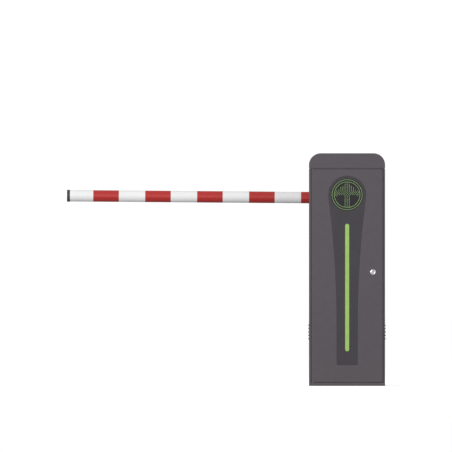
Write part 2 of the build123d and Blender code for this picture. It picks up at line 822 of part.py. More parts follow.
# Plastic cover around the shaft where it leaves the cabinet
with BuildPart() as shaft_cover:
    with BuildSketch(facing(back + shaft_cover_thickness)):
        with Locations((0, shaft_height)):
            Circle(shaft_cover_radius)
    extrude(amount=shaft_cover_thickness)
    fillet(shaft_cover.edges().sort_by(Axis.Y)[-1], 2)
    with BuildSketch(facing(back)):
        with Locations((0, shaft_height)):
            Circle(back_hole_radius - 0.5)
    extrude(amount=4)
    with BuildSketch(facing(back + shaft_cover_thickness + 1)):
        with Locations((0, shaft_height)):
            Circle(shaft_radius + rattle_gap + 0.2)
    extrude(amount=14, mode=Mode.SUBTRACT)
write(shaft_cover, "shaft_cover")

# ---------------------------------------------------------------------------------------------------------------
# Main shaft, rocker, connecting rod and crank
# ---------------------------------------------------------------------------------------------------------------
screw_offset = 21.2  # of the four flange screws, along and across the boom
flange_screws = [(x, z) for x in (-screw_offset, screw_offset) for z in (-screw_offset, screw_offset)]
with BuildPart() as main_shaft:
    with BuildSketch(facing(flange_front)):
        with Locations((0, shaft_height)):
            Circle(shaft_radius)
    extrude(amount=flange_front - shaft_front)
    with BuildSketch(boom_face(flange_back)):
        Circle(shaft_flange_radius)
        with Locations(*flange_screws):
            Circle(bolt_radius + bolt_gap, mode=Mode.SUBTRACT)
    extrude(amount=shaft_flange_thickness)
write(main_shaft, "main_shaft")

# Two-ended rocker: a pin for the connecting rod at the low end, a hole for the spring pin at the high end
with BuildPart() as rocker_arm:
    with BuildSketch(facing(lever_back)):
        with Locations((0, shaft_height)):
            SlotCenterToCenter(2 * lever_radius, lever_width, rotation=lever_angle)
            Circle(lever_hub_radius)
            Circle(shaft_radius + seat_gap, mode=Mode.SUBTRACT)
        with Locations((lever_x, shaft_height + lever_z)):
            Circle(cross_pin_radius + seat_gap, mode=Mode.SUBTRACT)
    extrude(amount=lever_thickness)
    with BuildSketch(facing(rod_back + 0.5)):
        with Locations((-lever_x, shaft_height - lever_z)):
            Circle(link_pin_radius)
    extrude(amount=rod_thickness + 1)
    with BuildSketch(facing(rod_back + 3.5)):
        with Locations((-lever_x, shaft_height - lever_z)):
            Circle(link_pin_radius + 3)
    extrude(amount=3)
write(rocker_arm, "rocker_arm")

# Pin through the rocker that carries both springs
spring_places = (lever_middle - spring_offset, lever_middle + spring_offset)
with BuildPart() as spring_cross_pin:
    with BuildSketch(facing(spring_places[1] + 9)):
        with Locations((lever_x, shaft_height + lever_z)):
            Circle(cross_pin_radius)
    extrude(amount=spring_places[1] - spring_places[0] + 18)
write(spring_cross_pin, "spring_cross_pin")

# Crank on the gearbox's output shaft, parallel to the rocker's low arm
with BuildPart() as crank_arm:
    with BuildSketch(facing(lever_back)):
        with Locations((-lever_x / 2, output_height - lever_z / 2)):
            SlotCenterToCenter(lever_radius, lever_width, rotation=lever_angle)
        with Locations((0, output_height)):
            Circle(crank_hub_radius)
            Circle(output_shaft_radius + seat_gap, mode=Mode.SUBTRACT)
    extrude(amount=lever_thickness)
    with BuildSketch(facing(rod_back + 0.5)):
        with Locations((-lever_x, output_height - lever_z)):
            Circle(link_pin_radius)
    extrude(amount=rod_thickness + 1)
    with BuildSketch(facing(rod_back + 3.5)):
        with Locations((-lever_x, output_height - lever_z)):
            Circle(link_pin_radius + 3)
    extrude(amount=3)
write(crank_arm, "crank_arm")

# Connecting rod: two eyes, a round bar and a hexagon turnbuckle body
rod_top = shaft_height - lever_z
rod_bottom = output_height - lever_z
rod_middle_y = (rod_front + rod_back) / 2
with BuildPart() as connecting_rod:
    with BuildSketch(facing(rod_back)):
        with Locations((-lever_x, rod_top), (-lever_x, rod_bottom)):
            Circle(rod_eye_radius)
    extrude(amount=rod_thickness)
    with BuildSketch(Plane.XY.offset(rod_bottom + rod_eye_radius - 3)):
        with Locations((-lever_x, rod_middle_y)):
            Circle(rod_thickness / 2 - 0.5)
    extrude(amount=rod_top - rod_bottom - 2 * rod_eye_radius + 6)
    with BuildSketch(Plane.XY.offset((rod_top + rod_bottom) / 2 - 35)):
        with Locations((-lever_x, rod_middle_y)):
            RegularPolygon(9, 6)
    extrude(amount=70)
    with BuildSketch(facing(rod_back + 1)):
        with Locations((-lever_x, rod_top), (-lever_x, rod_bottom)):
            Circle(link_pin_radius + running_gap)
    extrude(amount=rod_thickness + 2, mode=Mode.SUBTRACT)
write(connecting_rod, "connecting_rod")

# Rubber stop that the rocker rests on at both ends of its travel
buffer_radius = stop_drop * cos(radians(90 - lever_angle)) - lever_width / 2 - 0.4
with BuildPart() as stop_buffer:
    with BuildSketch(facing(rear_plate_y)):
        with Locations((0, shaft_height - stop_drop)):
            Circle(6)
    extrude(amount=plate_gap)
    with BuildSketch(facing(lever_back + 2)):
        with Locations((0, shaft_height - stop_drop)):
            Circle(buffer_radius)
    extrude(amount=lever_thickness + 4)
write(stop_buffer, "stop_buffer")

# Notched disc on the shaft's front end, read by the limit switches
disc_back = shaft_front + 6
with BuildPart() as limit_disc:
    with BuildSketch(facing(disc_back)):
        with Locations((0, shaft_height)):
            Circle(limit_disc_radius)
            Circle(shaft_radius + seat_gap, mode=Mode.SUBTRACT)
        with Locations((0, shaft_height + limit_disc_radius), (-limit_disc_radius, shaft_height)):
            Rectangle(limit_notch, limit_notch, mode=Mode.SUBTRACT)
    extrude(amount=limit_disc_thickness)
write(limit_disc, "limit_disc")

# ---------------------------------------------------------------------------------------------------------------
# Gearbox and motor
# ---------------------------------------------------------------------------------------------------------------
gearbox_middle = (gearbox_bottom + gearbox_top) / 2
gearbox_height = gearbox_top - gearbox_bottom
with BuildPart() as gearbox_case:
    with BuildSketch(facing(gearbox_back)):
        with Locations((0, gearbox_middle)):
            RectangleRounded(2 * gearbox_half_width, gearbox_height, 12)
    extrude(amount=gearbox_back - gearbox_front)
    with BuildSketch(facing(gearbox_back - gearbox_end)):
        with Locations((0, gearbox_middle)):
            Rectangle(2 * (gearbox_half_width - gearbox_wall), gearbox_height - 2 * gearbox_wall)
    extrude(amount=gearbox_back - gearbox_front, mode=Mode.SUBTRACT)
    with BuildSketch(facing(gearbox_back + 1)):
        with Locations((0, output_height)):
            Circle(output_shaft_radius + running_gap)
    extrude(amount=gearbox_end + 2, mode=Mode.SUBTRACT)
    with BuildSketch(facing(gearbox_back - gearbox_end + 3)):
        with Locations((0, countershaft_height)):
            Circle(countershaft_radius + running_gap)
    extrude(amount=4, mode=Mode.SUBTRACT)
    with BuildSketch(facing(cover_front + 23)):
        with Locations(*cover_bolts):
            Circle(cover_bolt_radius + bolt_gap)
    extrude(amount=24, mode=Mode.SUBTRACT)
write(gearbox_case, "gearbox_case")

with BuildPart() as gearbox_cover:
    with BuildSketch(facing(gearbox_front)):
        with Locations((0, gearbox_middle)):
            RectangleRounded(2 * gearbox_half_width, gearbox_height, 12)
        with Locations((0, motor_height)):
            Circle(motor_shaft_radius + running_gap, mode=Mode.SUBTRACT)
        with Locations(*cover_bolts):
            Circle(cover_bolt_radius + bolt_gap, mode=Mode.SUBTRACT)
    extrude(amount=gearbox_end)
    with BuildSketch(facing(gearbox_front)):
        with Locations((0, countershaft_height)):
            Circle(countershaft_radius + running_gap)
    extrude(amount=3, mode=Mode.SUBTRACT)
write(gearbox_cover, "gearbox_cover")


def gear(teeth, first_tooth, height, back_y, width, bore):
    """Spur gear on the line of shafts, with its back face at back_y."""
    with BuildPart() as wheel:
        with BuildSketch(facing(back_y)):
            with BuildLine():
                Polyline(*gear_points(teeth, first_tooth, (0, height)), close=True)
            make_face()
            if bore:
                with Locations((0, height)):
                    Circle(bore, mode=Mode.SUBTRACT)
        extrude(amount=width)
    return wheel


# A wheel has a tooth pointing down at rest, and the pinion below it has a gap there
wheel_tooth = -90.0
pinion_tooth = 90.0 + 180.0 / pinion_teeth

output_gear = gear(
    wheel_teeth, wheel_tooth, output_height, output_gear_back, output_gear_width, output_shaft_radius + seat_gap
)
write(output_gear, "output_gear")

with BuildPart() as output_shaft:
    with BuildSketch(facing(lever_back + 2)):
        with Locations((0, output_height)):
            Circle(output_shaft_radius)
    extrude(amount=lever_back + 2 - output_gear_front + 1)
write(output_shaft, "output_shaft")

first_wheel = gear(wheel_teeth, wheel_tooth, countershaft_height, first_gear_back, first_gear_width, 0)
second_pinion = gear(
    pinion_teeth, pinion_tooth, countershaft_height, output_gear_back, output_gear_back - first_gear_back, 0
)
with BuildPart() as intermediate_gear:
    add(first_wheel.part)
    add(second_pinion.part)
    with BuildSketch(facing(gearbox_back - gearbox_end + 2.5)):
        with Locations((0, countershaft_height)):
            Circle(countershaft_radius)
    extrude(amount=gearbox_back - gearbox_end + 2.5 - (gearbox_front - 2.5))
write(intermediate_gear, "intermediate_gear")

# Motor: can with two end plates; the rotor's shaft carries the pinion and the hand wheel
with BuildPart() as motor_body:
    with BuildSketch(facing(cover_front)):
        with Locations((0, motor_height)):
            Circle(motor_radius)
    extrude(amount=motor_length)
    fillet(motor_body.edges().sort_by(Axis.Y)[0], 3)
    with BuildSketch(facing(cover_front - motor_wall)):
        with Locations((0, motor_height)):
            Circle(motor_radius - motor_wall)
    extrude(amount=motor_length - 2 * motor_wall, mode=Mode.SUBTRACT)
    with BuildSketch(facing(cover_front + 1)):
        with Locations((0, motor_height)):
            Circle(motor_shaft_radius + running_gap)
    extrude(amount=motor_length + 2, mode=Mode.SUBTRACT)
write(motor_body, "motor_body")

motor_pinion = gear(pinion_teeth, pinion_tooth, motor_height, first_gear_back, first_gear_width, 0)
with BuildPart() as motor_rotor:
    add(motor_pinion.part)
    with BuildSketch(facing(first_gear_back)):
        with Locations((0, motor_height)):
            Circle(motor_shaft_radius)
    extrude(amount=first_gear_back - hand_wheel_front)
    with BuildSketch(facing(cover_front - motor_wall - 4)):
        with Locations((0, motor_height)):
            Circle(rotor_radius)
    extrude(amount=motor_length - 2 * motor_wall - 8)
write(motor_rotor, "motor_rotor")

with BuildPart() as hand_wheel:
    with BuildSketch(facing(hand_wheel_back)):
        with Locations((0, motor_height)):
            Circle(hand_wheel_radius)
            with PolarLocations(hand_wheel_radius, 12):
                Circle(3, mode=Mode.SUBTRACT)
            with PolarLocations(hand_wheel_radius * 0.55, 5):
                Circle(6, mode=Mode.SUBTRACT)
            Circle(motor_shaft_radius + seat_gap, mode=Mode.SUBTRACT)
    extrude(amount=hand_wheel_thickness)
write(hand_wheel, "hand_wheel")

# ---------------------------------------------------------------------------------------------------------------
# Balance springs
# ---------------------------------------------------------------------------------------------------------------
spring_head_height = shaft_height + lever_z
spring_coil_bottom = spring_foot_height + 25
spring_coil_top = spring_head_height - 28
eye_half = cross_pin_radius + rattle_gap + 4


def balance_spring(y):
    """Extension spring: a coil body, drawn as a tube, with an eye at each end."""
    with BuildPart() as spring:
        with BuildSketch(Plane.XY.offset(spring_coil_bottom)):
            with Locations((lever_x, y)):
                Circle(spring_radius)
                Circle(spring_radius - spring_wall, mode=Mode.SUBTRACT)
        extrude(amount=spring_coil_top - spring_coil_bottom)
        for plug_bottom in (spring_coil_bottom - 4, spring_coil_top):
            with BuildSketch(Plane.XY.offset(plug_bottom)):
                with Locations((lever_x, y)):
                    Circle(spring_radius)
            extrude(amount=4)
        with BuildSketch(facing(y + spring_eye_thickness / 2)):
            for eye_height, body_height in (
                (spring_foot_height, spring_coil_bottom - 4),
                (spring_head_height, spring_coil_top + 4),
            ):
                with Locations((lever_x, eye_height)):
                    Circle(eye_half)
                with Locations((lever_x, (eye_height + body_height) / 2)):
                    Rectangle(2 * eye_half, abs(eye_height - body_height))
                with Locations((lever_x, eye_height)):
                    Circle(cross_pin_radius + rattle_gap, mode=Mode.SUBTRACT)
        extrude(amount=spring_eye_thickness)
    return spring


write(balance_spring(spring_places[0]), "balance_spring_front")
write(balance_spring(spring_places[1]), "balance_spring_rear")

# Beam between the plates that anchors the springs
beam_top = spring_foot_height - 24
beam_height = 12.0
with BuildPart() as spring_anchor_beam:
    with BuildSketch(Plane.XY.offset(beam_top)):
        with Locations((lever_x, plate_inside + plate_gap / 2)):
            Rectangle(36, plate_gap)
        with Locations(*[(lever_x, y) for y in spring_places]):
            Circle(bolt_radius + 1 + bolt_gap, mode=Mode.SUBTRACT)
    extrude(amount=-beam_height)
write(spring_anchor_beam, "spring_anchor_beam")

# Adjusters: a fork with a cross pin for each spring, a threaded rod through the beam and its nut
with BuildPart() as spring_adjusters:
    for y in spring_places:
        fork_half = spring_eye_thickness / 2 + 5
        with BuildSketch(facing(y + fork_half)):
            with Locations((lever_x, spring_foot_height - 6)):
                Rectangle(20, 30)
        extrude(amount=2 * fork_half)
        with BuildSketch(facing(y + spring_eye_thickness / 2 + rattle_gap)):
            with Locations((lever_x, spring_foot_height + 3)):
                Rectangle(21, 30)
        extrude(amount=spring_eye_thickness + 2 * rattle_gap, mode=Mode.SUBTRACT)
        with BuildSketch(facing(y + fork_half)):
            with Locations((lever_x, spring_foot_height)):
                Circle(cross_pin_radius)
        extrude(amount=2 * fork_half)
        with BuildSketch(Plane.XY.offset(beam_top - beam_height - 30)):
            with Locations((lever_x, y)):
                Circle(bolt_radius + 1)
        extrude(amount=spring_foot_height - 20 - (beam_top - beam_height - 30))
        with BuildSketch(Plane.XY.offset(beam_top - beam_height)):
            with Locations((lever_x, y)):
                RegularPolygon(9, 6)
        extrude(amount=-8)
write(spring_adjusters, "spring_adjusters")

# ---------------------------------------------------------------------------------------------------------------
# Electrical pieces on the front plate
# ---------------------------------------------------------------------------------------------------------------
box_x, box_y, box_z = control_box_size
box_front = front_plate_y - box_y
cover_thickness = 4.0
with BuildPart() as control_box:
    with BuildSketch(facing(front_plate_y)):
        with Locations((0, control_box_middle)):
            RectangleRounded(box_x, box_z, 6)
    extrude(amount=box_y)
    with BuildSketch(facing(front_plate_y - 3)):
        with Locations((0, control_box_middle)):
            Rectangle(box_x - 8, box_z - 8)
    extrude(amount=box_y, mode=Mode.SUBTRACT)
write(control_box, "control_box")

button_places = {
    "button_raise": (-button_spacing, control_box_middle),
    "button_stop": (0.0, control_box_middle),
    "button_lower": (button_spacing, control_box_middle),
}
with BuildPart() as control_box_cover:
    with BuildSketch(facing(box_front)):
        with Locations((0, control_box_middle)):
            RectangleRounded(box_x, box_z, 6)
        with Locations(*button_places.values()):
            Circle(button_radius + rattle_gap, mode=Mode.SUBTRACT)
    extrude(amount=cover_thickness)
    fillet(control_box_cover.faces().sort_by(Axis.Y)[0].outer_wire().edges(), 1.5)
write(control_box_cover, "control_box_cover")

for name, (x, z) in button_places.items():
    with BuildPart() as button:
        with BuildSketch(facing(box_front + 8)):
            with Locations((x, z)):
                Circle(button_radius)
        extrude(amount=8 + cover_thickness + 5)
        fillet(button.edges().sort_by(Axis.Y)[0], 1.5)
        with BuildSketch(facing(box_front + 8)):
            with Locations((x, z)):
                Circle(button_radius + 2)
        extrude(amount=8 - 0.5 - button_travel)
    write(button, name)

with BuildPart() as power_supply:
    with BuildSketch(facing(front_plate_y)):
        with Locations((0, power_supply_middle)):
            Rectangle(power_supply_size[0], power_supply_size[2])
    extrude(amount=power_supply_size[1])
    fillet(power_supply.edges().filter_by(Axis.Y), 2)
write(power_supply, "power_supply")

rail_front = front_plate_y - rail_depth
with BuildPart() as mounting_rail:
    with BuildSketch(facing(front_plate_y)):
        with Locations((0, rail_height)):
            Rectangle(rail_length, rail_width - 10)
    extrude(amount=1.5)
    with BuildSketch(facing(front_plate_y)):
        for side in (-1, 1):
            with Locations((0, rail_height + side * (rail_width / 2 - 5.75))):
                Rectangle(rail_length, 1.5)
    extrude(amount=rail_depth)
    with BuildSketch(facing(rail_front + 1.5)):
        for side in (-1, 1):
            with Locations((0, rail_height + side * (rail_width / 2 - 3.25))):
                Rectangle(rail_length, 6.5)
    extrude(amount=1.5)
write(mounting_rail, "mounting_rail")

# Two-pole circuit breaker with a stepped front and a toggle in its slot
breaker_width, breaker_height = breaker_size
breaker_body, breaker_step = breaker_depths
toggle_y = rail_front - breaker_body - breaker_step / 2
with BuildPart() as circuit_breaker:
    with BuildSketch(facing(rail_front)):
        with Locations((breaker_x, rail_height)):
            Rectangle(breaker_width, breaker_height)
    extrude(amount=breaker_body)
    with BuildSketch(facing(rail_front - breaker_body)):
        with Locations((breaker_x, rail_height)):
            Rectangle(breaker_width, 45)
    extrude(amount=breaker_step)
    with BuildSketch(facing(rail_front - breaker_body)):
        with Locations((breaker_x, rail_height)):
            Rectangle(14, 30)
    extrude(amount=breaker_step + 1, mode=Mode.SUBTRACT)
write(circuit_breaker, "circuit_breaker")

with BuildPart() as breaker_toggle:
    with BuildSketch(Plane.YZ.offset(breaker_x - 6)):
        with Locations((toggle_y, rail_height)):
            Circle(6)
        with Locations((toggle_y - 9, rail_height - 3)):
            Rectangle(16, 5, rotation=20)
    extrude(amount=12)
write(breaker_toggle, "breaker_toggle")

# Row of terminal blocks
with BuildPart() as terminal_blocks:
    for number in range(terminal_count):
        x = first_terminal_x + number * terminal_pitch
        with BuildSketch(facing(rail_front)):
            with Locations((x, rail_height)):
                Rectangle(*terminal_size)
        extrude(amount=terminal_depths[0])
        with BuildSketch(facing(rail_front - terminal_depths[0])):
            with Locations((x, rail_height)):
                Rectangle(terminal_size[0], terminal_size[1] - 22)
        extrude(amount=terminal_depths[1])
write(terminal_blocks, "terminal_blocks")

# ---------------------------------------------------------------------------------------------------------------
# Boom
# ---------------------------------------------------------------------------------------------------------------
holder_middle = (holder_right - holder_left) / 2
clamp_bolts = [(place, side * clamp_bolt_offset) for place in clamp_places for side in (-1, 1)]
with BuildPart() as boom_holder_plate:
    with BuildSketch(boom_face(holder_back)):
        with Locations((holder_middle, 0)):
            RectangleRounded(holder_left + holder_right, 2 * holder_half_height, 14)
        with Locations(*flange_screws):
            Circle(bolt_radius + bolt_gap, mode=Mode.SUBTRACT)
    extrude(amount=holder_thickness)
    with BuildSketch(boom_face(holder_back)):
        with Locations(*clamp_bolts):
            Circle(bolt_radius + bolt_gap)
    extrude(amount=holder_thickness - 1, mode=Mode.SUBTRACT)
write(boom_holder_plate, "boom_holder_plate")

# Pipe clamps: a saddle against the plate and a cap behind the tube, at two places
split_gap = 0.8
cap_back = boom_y + boom_radius + clamp_wall
with BuildPart() as boom_clamps:
    for block_back, block_depth in (
        (boom_y - split_gap / 2, boom_y - split_gap / 2 - holder_back),
        (cap_back, cap_back - boom_y - split_gap / 2),
    ):
        with BuildSketch(boom_face(block_back)):
            for place in clamp_places:
                with Locations((place, 0)):
                    Rectangle(clamp_width, 2 * clamp_half_height)
            with Locations(*clamp_bolts):
                Circle(bolt_radius + bolt_gap, mode=Mode.SUBTRACT)
        extrude(amount=block_depth)
    with BuildSketch(across_boom(-holder_left - 10)):
        Circle(boom_radius + 0.1)
    extrude(amount=holder_left + holder_right + 20, mode=Mode.SUBTRACT)
write(boom_clamps, "boom_clamps")

with BuildPart() as boom_bolts:
    with BuildSketch(boom_face(cap_back)):
        with Locations(*clamp_bolts):
            Circle(bolt_radius)
    extrude(amount=cap_back - flange_back - 2)
    with BuildSketch(boom_face(cap_back + bolt_head_height)):
        with Locations(*clamp_bolts):
            RegularPolygon(bolt_radius * bolt_head_share, 6)
    extrude(amount=bolt_head_height)
    with BuildSketch(boom_face(holder_back)):
        with Locations(*flange_screws):
            Circle(bolt_radius)
    extrude(amount=holder_thickness + shaft_flange_thickness)
    with BuildSketch(boom_face(holder_back + 4.5)):
        with Locations(*flange_screws):
            RegularPolygon(bolt_radius * 1.7, 6)
    extrude(amount=4.5)
write(boom_bolts, "boom_bolts")

tube_start = end_cap_length - boom_reach
tube_bore = boom_radius - boom_wall
plug_length = 30.0
with BuildPart() as boom_tube:
    with BuildSketch(across_boom(tube_start)):
        Circle(boom_radius)
        Circle(tube_bore, mode=Mode.SUBTRACT)
    extrude(amount=boom_root - tube_start)
write(boom_tube, "boom_tube")

with BuildPart() as boom_end_cap:
    with BuildSketch(across_boom(-boom_reach)):
        Circle(end_cap_radius)
    extrude(amount=end_cap_length)
    fillet(boom_end_cap.edges().sort_by(Axis.X)[0], 2.5)
    with BuildSketch(across_boom(tube_start)):
        Circle(tube_bore - 0.1)
        Circle(tube_bore - 3, mode=Mode.SUBTRACT)
    extrude(amount=plug_length)
write(boom_end_cap, "boom_end_cap")

with BuildPart() as boom_root_plug:
    with BuildSketch(across_boom(boom_root)):
        Circle(boom_radius)
    extrude(amount=5)
    fillet(boom_root_plug.edges().sort_by(Axis.X)[-1], 1.5)
    with BuildSketch(across_boom(boom_root - plug_length)):
        Circle(tube_bore - 0.1)
        Circle(tube_bore - 3, mode=Mode.SUBTRACT)
    extrude(amount=plug_length)
write(boom_root_plug, "boom_root_plug")

# Red reflective bands wrapped around the white tube
with BuildPart() as reflective_bands:
    for number in range(band_count):
        with BuildSketch(across_boom(band_start + number * band_pitch - boom_reach)):
            Circle(boom_radius + 0.05 + band_thickness)
            Circle(boom_radius + 0.05, mode=Mode.SUBTRACT)
        extrude(amount=band_length)
write(reflective_bands, "reflective_bands")
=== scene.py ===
# %% [markdown]
# # A parking barrier gate, finished in Blender
#
# A barrier gate is a steel cabinet with a lifting machine inside and a long round boom behind it. The solid model of
# the gate is already exact, so this lesson only dresses it: it rounds the edges that catch light, winds the springs,
# fits the lamps, screws and fins, and gives every surface the finish that it has on the real gate.
#
# The first step loads the solid model. Each of its nodes sits at the origin with its place in its mesh, in metres,
# and each one belongs to a body: the cabinet, the door, the boom, and so on.

import json
import math
import random

import bmesh
import bpy
from mathutils import Matrix, Vector


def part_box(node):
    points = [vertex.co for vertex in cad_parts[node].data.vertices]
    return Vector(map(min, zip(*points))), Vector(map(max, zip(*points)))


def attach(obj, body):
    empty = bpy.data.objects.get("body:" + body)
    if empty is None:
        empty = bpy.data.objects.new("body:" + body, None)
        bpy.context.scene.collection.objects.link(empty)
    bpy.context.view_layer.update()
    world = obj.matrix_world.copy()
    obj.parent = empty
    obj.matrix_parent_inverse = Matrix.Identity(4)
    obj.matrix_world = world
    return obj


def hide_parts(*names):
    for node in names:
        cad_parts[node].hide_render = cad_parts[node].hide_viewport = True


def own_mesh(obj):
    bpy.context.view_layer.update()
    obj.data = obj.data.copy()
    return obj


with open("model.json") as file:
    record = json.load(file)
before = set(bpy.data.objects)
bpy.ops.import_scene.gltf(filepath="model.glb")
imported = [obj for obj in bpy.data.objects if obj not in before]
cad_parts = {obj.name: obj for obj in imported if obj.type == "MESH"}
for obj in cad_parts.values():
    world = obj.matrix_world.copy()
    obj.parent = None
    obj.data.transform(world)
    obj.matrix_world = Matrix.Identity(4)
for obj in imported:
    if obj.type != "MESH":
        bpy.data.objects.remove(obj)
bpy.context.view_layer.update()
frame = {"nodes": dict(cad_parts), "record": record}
nodes = frame["nodes"]
MM = 0.001

# %% [markdown]
# ## Camera and studio
#
# The gate is seen square from the front, with no perspective to speak of. A very long lens from far away gives that
# and still behaves like a real camera when it is moved to look from the side.

# %% Camera
lens_mm = 1500.0
sensor_mm = 36.0
frame_width = 1.966
frame_middle = (-0.527, 0.6955)  # across and up, so that the boom fills the left half
camera_data = bpy.data.cameras.new("front_camera")
camera_data.lens = lens_mm
camera_data.sensor_width = sensor_mm
camera_data.clip_start = 1.0
camera_data.clip_end = 300.0
camera = bpy.data.objects.new("front_camera", camera_data)
distance = frame_width / (sensor_mm / lens_mm)
camera.location = (frame_middle[0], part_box("front_door")[0].y - distance, frame_middle[1])
camera.rotation_euler = (math.radians(90), 0, 0)
bpy.context.scene.collection.objects.link(camera)
bpy.context.scene.camera = camera
print("camera stands", round(distance, 1), "m in front of the door")

# %% [markdown]
# ## Colours and nodes
#
# Paint colours are written as the hex values that a colour chart gives. Blender wants them linear, so one function
# turns them. A second function adds a shader node, sets it and wires it, so that a finish reads as a short list.

# %% Colour and node helpers
def colour(hex_value):
    """The linear colour of an sRGB hex value such as #615C61."""
    parts = [int(hex_value[i : i + 2], 16) / 255 for i in (1, 3, 5)]
    return tuple(c / 12.92 if c <= 0.04045 else ((c + 0.055) / 1.055) ** 2.4 for c in parts) + (1.0,)


def add_node(tree, kind, inputs=None, **settings):
    """Adds a node. Each input is a value, or another node's socket to link from."""
    made = tree.nodes.new(kind)
    for name, value in settings.items():
        setattr(made, name, value)
    for socket, value in (inputs or {}).items():
        if isinstance(value, bpy.types.NodeSocket):
            tree.links.new(value, made.inputs[socket])
        else:
            made.inputs[socket].default_value = value
    return made


print("powder coat grey in linear light:", [round(c, 3) for c in colour("#615C61")])

# %% [markdown]
# Almost every finish here is built the same way: a base colour that is a little uneven, a grain that stands up by a
# few hundredths of a millimetre, and a sheen that varies with it. One function starts a finish, a second makes its
# colour uneven, and a third raises its grain. All patterns read Object coordinates, so a scale is one over a size.

# %% Start of a finish, uneven colour and raised grain
def start_finish(name, hex_value, roughness, metallic=0.0, settings=None):
    """A material with a Principled shader. The settings are the shader's own sockets."""
    made = bpy.data.materials.new(name)
    made.use_nodes = True
    tree = made.node_tree
    shader = tree.nodes["Principled BSDF"]
    values = {"Base Color": colour(hex_value), "Roughness": roughness, "Metallic": metallic, **(settings or {})}
    for socket, value in values.items():
        shader.inputs[socket].default_value = value
    place = add_node(tree, "ShaderNodeTexCoord").outputs["Object"]
    return made, tree, shader, place


def uneven_colour(tree, shader, place, low_hex, high_hex, size_mm, detail=3.0):
    """Base colour that drifts between two colours over patches of a given size."""
    patches = add_node(
        tree, "ShaderNodeTexNoise", {"Vector": place, "Scale": 1000 / size_mm, "Detail": detail, "Roughness": 0.55}
    )
    spread = add_node(tree, "ShaderNodeMapRange", {0: patches.outputs["Fac"], 1: 0.3, 2: 0.7})
    mixed = add_node(
        tree, "ShaderNodeMix", {0: spread.outputs[0], 6: colour(low_hex), 7: colour(high_hex)}, data_type="RGBA"
    )
    tree.links.new(mixed.outputs[2], shader.inputs["Base Color"])
    return mixed


def raised_grain(tree, shader, place, size_mm, height_mm, rough_low, rough_high, detail=2.0):
    """Bump of a given grain width and height, and a roughness that follows a coarser version of it."""
    grain = add_node(tree, "ShaderNodeTexNoise", {"Vector": place, "Scale": 1000 / size_mm, "Detail": detail})
    bump = add_node(
        tree, "ShaderNodeBump", {"Height": grain.outputs["Fac"], "Strength": 1.0, "Distance": height_mm * MM}
    )
    tree.links.new(bump.outputs["Normal"], shader.inputs["Normal"])
    rubbed = add_node(tree, "ShaderNodeTexNoise", {"Vector": place, "Scale": 1000 / (size_mm * 12), "Detail": 4.0})
    sheen = add_node(
        tree, "ShaderNodeMapRange", {0: rubbed.outputs["Fac"], 1: 0.35, 2: 0.65, 3: rough_low, 4: rough_high}
    )
    tree.links.new(sheen.outputs[0], shader.inputs["Roughness"])
    return bump


print("three steps make a finish: start_finish, uneven_colour, raised_grain")

# %% [markdown]
# ## Finishes of the cabinet
#
# The cabinet is steel sheet with a polyester powder coat. The powder melts into a fine orange peel, with grains about
# 1 mm across and 0.03 mm high, and it reflects light softly. Splashes from the lane leave a thin film of dust on the
# lowest 150 mm. The grain is drawn 1.6 mm wide so that it can be seen.

# %% Powder coat
powder, tree, shader, place = start_finish("polyester_powder_coat", "#524D52", 0.6)
mixed = uneven_colour(tree, shader, place, "#514B51", "#544E54", 30)
height = add_node(tree, "ShaderNodeSeparateXYZ", {0: place})
near_ground = add_node(tree, "ShaderNodeMapRange", {0: height.outputs["Z"], 1: 150 * MM, 2: 0.0, 3: 0.0, 4: 1.0})
splashes = add_node(tree, "ShaderNodeTexNoise", {"Vector": place, "Scale": 1000 / 14, "Detail": 6.0})
film = add_node(tree, "ShaderNodeMath", {0: near_ground.outputs[0], 1: splashes.outputs["Fac"]}, operation="MULTIPLY")
dusty = add_node(
    tree, "ShaderNodeMix", {0: film.outputs[0], 6: mixed.outputs[2], 7: colour("#585253")}, data_type="RGBA"
)
tree.links.new(dusty.outputs[2], shader.inputs["Base Color"])
raised_grain(tree, shader, place, 1.6, 0.03, 0.58, 0.64)

# The folded insides get a thinner, smoother coat of the same powder.
inner, tree, shader, place = start_finish("thin_powder_coat", "#4D484D", 0.5)
uneven_colour(tree, shader, place, "#4B464B", "#4F4A4F", 60)
raised_grain(tree, shader, place, 2.2, 0.02, 0.45, 0.55)
print("made", powder.name, "and", inner.name)

# %% [markdown]
# The keyhole fascia is dark tinted polycarbonate, printed from behind, so it is smooth and glossier than the steel
# around it. The round window over the lamps is the same plastic in a deeper tint. The light strip is an opal
# diffuser that glows green from within, and each lamp of the display is a small clear green dome over a diode.

# %% Fascia, window, diffuser and lamps
fascia, tree, shader, place = start_finish("tinted_polycarbonate", "#39343B", 0.35, settings={"IOR": 1.585})
uneven_colour(tree, shader, place, "#38333A", "#3B363D", 80)
raised_grain(tree, shader, place, 0.9, 0.006, 0.32, 0.4)

window, tree, shader, place = start_finish("smoked_polycarbonate", "#221F23", 0.2, settings={"IOR": 1.585})
uneven_colour(tree, shader, place, "#201D21", "#252226", 60)
raised_grain(tree, shader, place, 3.0, 0.004, 0.16, 0.24)

diffuser, tree, shader, place = start_finish(
    "opal_acrylic_diffuser", "#88B356", 0.45, settings={"IOR": 1.49, "Emission Strength": 0.2}
)
shader.inputs["Emission Color"].default_value = colour("#A4C768")
uneven_colour(tree, shader, place, "#86AC54", "#90B55D", 25)
raised_grain(tree, shader, place, 1.2, 0.02, 0.4, 0.5)

lamp, tree, shader, place = start_finish(
    "lit_green_led", "#74A05A", 0.25, settings={"IOR": 1.5, "Emission Strength": 0.56}
)
shader.inputs["Emission Color"].default_value = colour("#A4CC84")
uneven_colour(tree, shader, place, "#6E9456", "#7CA162", 8)
raised_grain(tree, shader, place, 0.8, 0.01, 0.2, 0.3)
print("made", fascia.name, window.name, diffuser.name, lamp.name)

